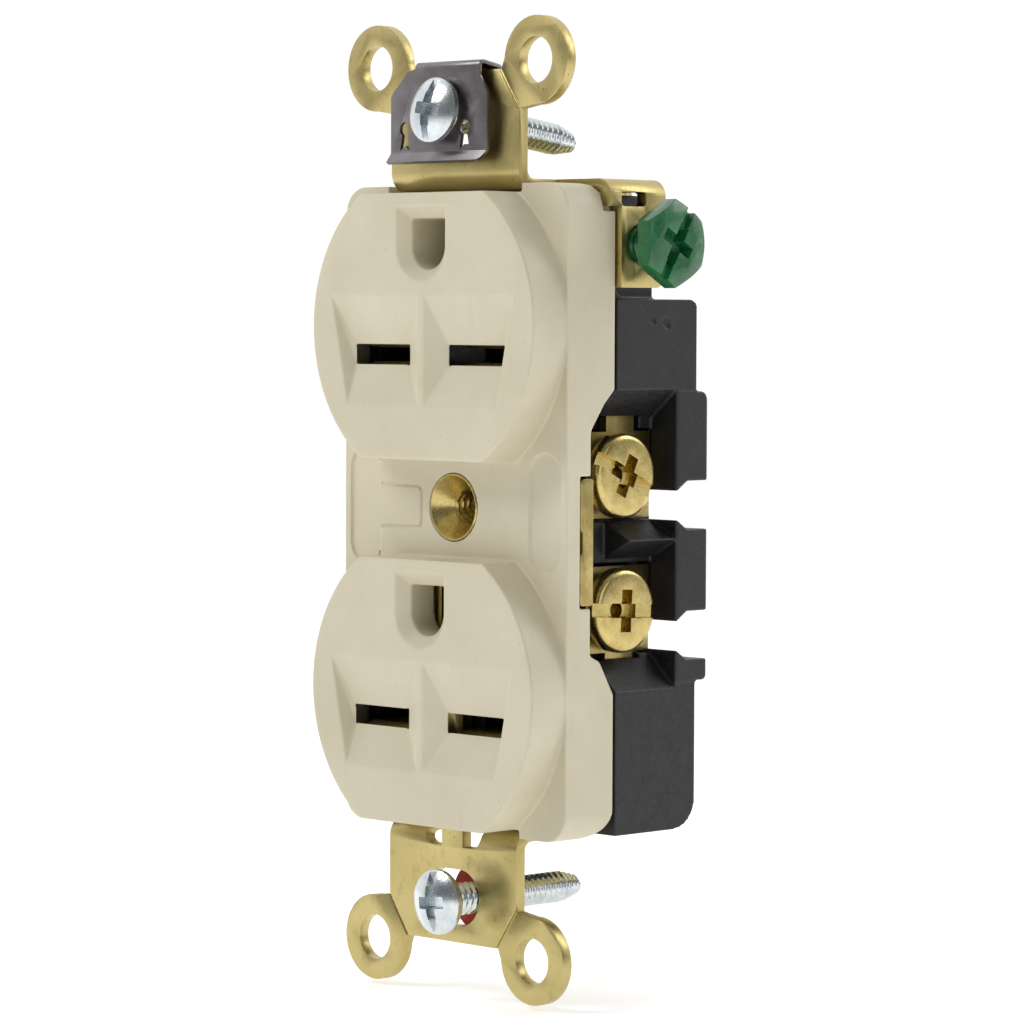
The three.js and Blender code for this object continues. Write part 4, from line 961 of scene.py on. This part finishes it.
def terminal_strip(name, s):
    front, rear, notch = 1.05, 2.95, 0.35
    fin = rounded([(front, -9.7, 0.35), (rear, -9.7, 0.3), (rear, 3.6, 0.3), (front, 3.6, 0.7),
                   (front, -1.6, 0.3), (front + notch, -2.1, 0.3), (front + notch, -4.0, 0.3),
                   (front, -4.5, 0.3)])
    strip = prism(fin, "x", *outward(s, 16.0, 16.8), name)
    parts, holes = [], []
    for level, t in LEVELS:
        z = TERMINAL_Z[level]
        blade = FACE_Z[level] + BLADE_Z
        near = z - t * 4.6
        parts += [
            box(*outward(s, 12.3, 13.3), 2.2, 15.0, z - 4.6, z + 4.6),
            box(*outward(s, 12.3, 16.8), 2.2, rear, *sorted((near, near + t * 2))),
            box(*outward(s, 12.3, 13.3), 8.4, 12.6, *sorted((z, blade + t * 1.6))),
            box(*outward(s, 5.0, 13.3), 11.8, 12.6, blade - 1.6, blade + 1.6),
        ]
        holes.append(rod("x", TERMINAL_Y, z, SCREW_HOLE, *outward(s, 11.3, 14.3)))
        holes.append(rod("y", s * RIVET_X, blade, 1.15, 11, 14))
    join(strip, parts)
    cut(strip, holes)
    return bevelled(strip, 0.1, 2)


def clamp_plate(name, s, z):
    plate = box(*outward(s, 7.4, 8.9), 4.6, 13.6, z - 4.2, z + 4.2)
    plate.name = name
    ribs = [box(*outward(s, 8.75, 9.5), y, y + 0.5, z - 5, z + 5) for y in (5.2, 6.2, 11.2, 12.2)]
    cut(plate, [rod("x", TERMINAL_Y, z, SCREW_HOLE, *outward(s, 6.4, 9.9)), *ribs])
    return bevelled(plate, 0.12, 2)


# ---------- the pieces in their places ----------
def build():
    finish_piece(front_cover(), "outlet", "front_cover", IVORY)
    finish_piece(rear_body(), "outlet", "rear_body", BLACK)
    finish_piece(mounting_strap(), "outlet", "mounting_strap", BRASS)
    finish_piece(center_insert(), "outlet", "center_insert", SCREW_BRASS)
    finish_piece(grounding_clip(), "clip", "self_grounding_clip", STEEL)

    tilt = Matrix.Rotation(-math.radians(UPPER_SCREW_TILT), 4, "X")
    upper = moved(mounting_screw("upper_mounting_screw", 0.12), at(UPPER_X, UPPER_Y, UPPER_Z) @ tilt)
    finish_piece(upper, "upper_screw", "upper_mounting_screw", ZINC)
    lower = moved(mounting_screw("lower_mounting_screw", -0.1), at(LOWER_X, LOWER_Y, LOWER_Z))
    finish_piece(lower, "lower_screw", "lower_mounting_screw", ZINC)
    washer = moved(retainer(), at(LOWER_X, 0, LOWER_Z))
    finish_piece(washer, "retainer", "lower_screw_retainer", FIBRE)
    ground = moved(ground_screw(), at(*GROUND_SCREW_AT))
    finish_piece(ground, "ground_screw", "ground_screw", GREEN)

    for side_name, s in SIDES:
        strip = f"terminal_strip_{side_name}"
        # The terminal strips take the darker brass copy, which is painted shade.
        finish_piece(terminal_strip(strip, s), "outlet", strip, SHADED_BRASS)
        for level, _ in LEVELS:
            suffix = f"{level}_{side_name}"
            z = TERMINAL_Z[level]
            name = f"terminal_screw_{suffix}"
            screw = terminal_screw(name, s, math.radians(TERMINAL_LEAN[level]))
            moved(screw, at(s * TERMINAL_HEAD_X, TERMINAL_Y, z))
            finish_piece(screw, name, name, SCREW_BRASS)
            clamp = clamp_plate(f"clamp_plate_{suffix}", s, z)
            finish_piece(clamp, f"clamp_{suffix}", f"clamp_plate_{suffix}", BRASS)
            blade = FACE_Z[level] + BLADE_Z
            stud = rivet(f"contact_rivet_{suffix}", front=9.9, neck=1.0, head=1.4, rear=13.4, tail=1.6)
            moved(stud, at(s * RIVET_X, 0, blade))
            finish_piece(stud, "outlet", f"contact_rivet_{suffix}", BRASS)
            frame["nodes"][f"blade_contact_{suffix}"].data.materials[0] = BRASS
    for (level, _), z in zip(LEVELS, ASSEMBLY_Z):
        stud = rivet(f"ground_rivet_{level}", front=12.6, neck=1.2, head=2.0, rear=19.1, tail=2.2)
        moved(stud, at(0, 0, FACE_Z[level] + GROUND_Z))
        finish_piece(stud, "outlet", f"ground_rivet_{level}", BRASS)
        frame["nodes"][f"ground_contact_{level}"].data.materials[0] = BRASS
        screw = moved(assembly_screw(f"assembly_screw_{level}"), at(0, 0, z))
        finish_piece(screw, "outlet", f"assembly_screw_{level}", ZINC)


# ---------- stage: angles in degrees, places in millimetres ----------
CAMERA_ANGLES = (45.549, 2.702, 0.230)
CAMERA_AT = (322.69, -309.05, 20.71)
CAMERA_LENS = 146.98
FLOOR_HALF = 4000


def camera():
    azimuth, elevation, roll = (math.radians(a) for a in CAMERA_ANGLES)
    back = Vector((math.sin(azimuth) * math.cos(elevation), -math.cos(azimuth) * math.cos(elevation),
                   math.sin(elevation)))
    level_right = (-back).cross(Vector((0, 0, 1))).normalized()
    level_up = level_right.cross(-back)
    right = math.cos(roll) * level_right + math.sin(roll) * level_up
    up = -math.sin(roll) * level_right + math.cos(roll) * level_up
    data = bpy.data.cameras.new("camera")
    data.sensor_width = 36.0
    data.lens = CAMERA_LENS
    data.clip_start, data.clip_end = 0.01, 20
    seen = bpy.data.objects.new("camera", data)
    turn = Matrix((right, up, back)).transposed().to_4x4()
    seen.matrix_world = at(*CAMERA_AT) @ turn
    bpy.context.scene.collection.objects.link(seen)
    bpy.context.scene.camera = seen


def light(name, place_mm, size_mm, power):
    data = bpy.data.lights.new(name, "AREA")
    data.energy = power
    data.shape = "RECTANGLE"
    data.size, data.size_y = (s * MM for s in size_mm)
    lamp = bpy.data.objects.new(name, data)
    lamp.location = Vector(place_mm) * MM
    lamp.rotation_mode = "QUATERNION"
    lamp.rotation_quaternion = (-Vector(place_mm)).to_track_quat("-Z", "Y")
    bpy.context.scene.collection.objects.link(lamp)


def stage():
    corners = [(u * FLOOR_HALF, v * FLOOR_HALF, 0) for u, v in ((-1, -1), (1, -1), (1, 1), (-1, 1))]
    floor = new_piece("floor", corners, [(0, 1, 2, 3)])
    floor.location.z = cad_low.z - 0.0005
    paper = bpy.data.materials.new("pale_floor")
    paper.use_nodes = True
    surface = paper.node_tree.nodes["Principled BSDF"]
    surface.inputs["Base Color"].default_value = (0.9, 0.9, 0.9, 1)
    surface.inputs["Roughness"].default_value = 0.9
    surface.inputs["Emission Color"].default_value = (1, 1, 1, 1)
    surface.inputs["Emission Strength"].default_value = 0.4
    floor.data.materials.append(paper)
    world = bpy.data.worlds.new("studio")
    world.use_nodes = True
    tree = world.node_tree
    glow = tree.nodes["Background"]
    glow.inputs[0].default_value = (1, 1, 1, 1)
    towards = tree.nodes.new("ShaderNodeVectorMath")
    towards.operation = "DOT_PRODUCT"
    towards.inputs[1].default_value = (-0.62, 0.61, 0.35)
    span = tree.nodes.new("ShaderNodeMapRange")
    for socket, number in zip(("From Min", "From Max", "To Min", "To Max"), (-0.1, 0.55, 0.17, 1.05)):
        span.inputs[socket].default_value = number
    tree.links.new(tree.nodes.new("ShaderNodeTexCoord").outputs["Generated"], towards.inputs[0])
    tree.links.new(towards.outputs["Value"], span.inputs["Value"])
    tree.links.new(span.outputs[0], glow.inputs[1])
    bpy.context.scene.world = world
    bpy.context.scene.view_settings.view_transform = "Standard"
    light("key", (-240, -400, 420), (200, 200), 1.3)
    light("fill", (480, -60, 160), (240, 360), 0.3)
    light("rim", (260, 380, 300), (200, 300), 0.5)


camera()
stage()
build()
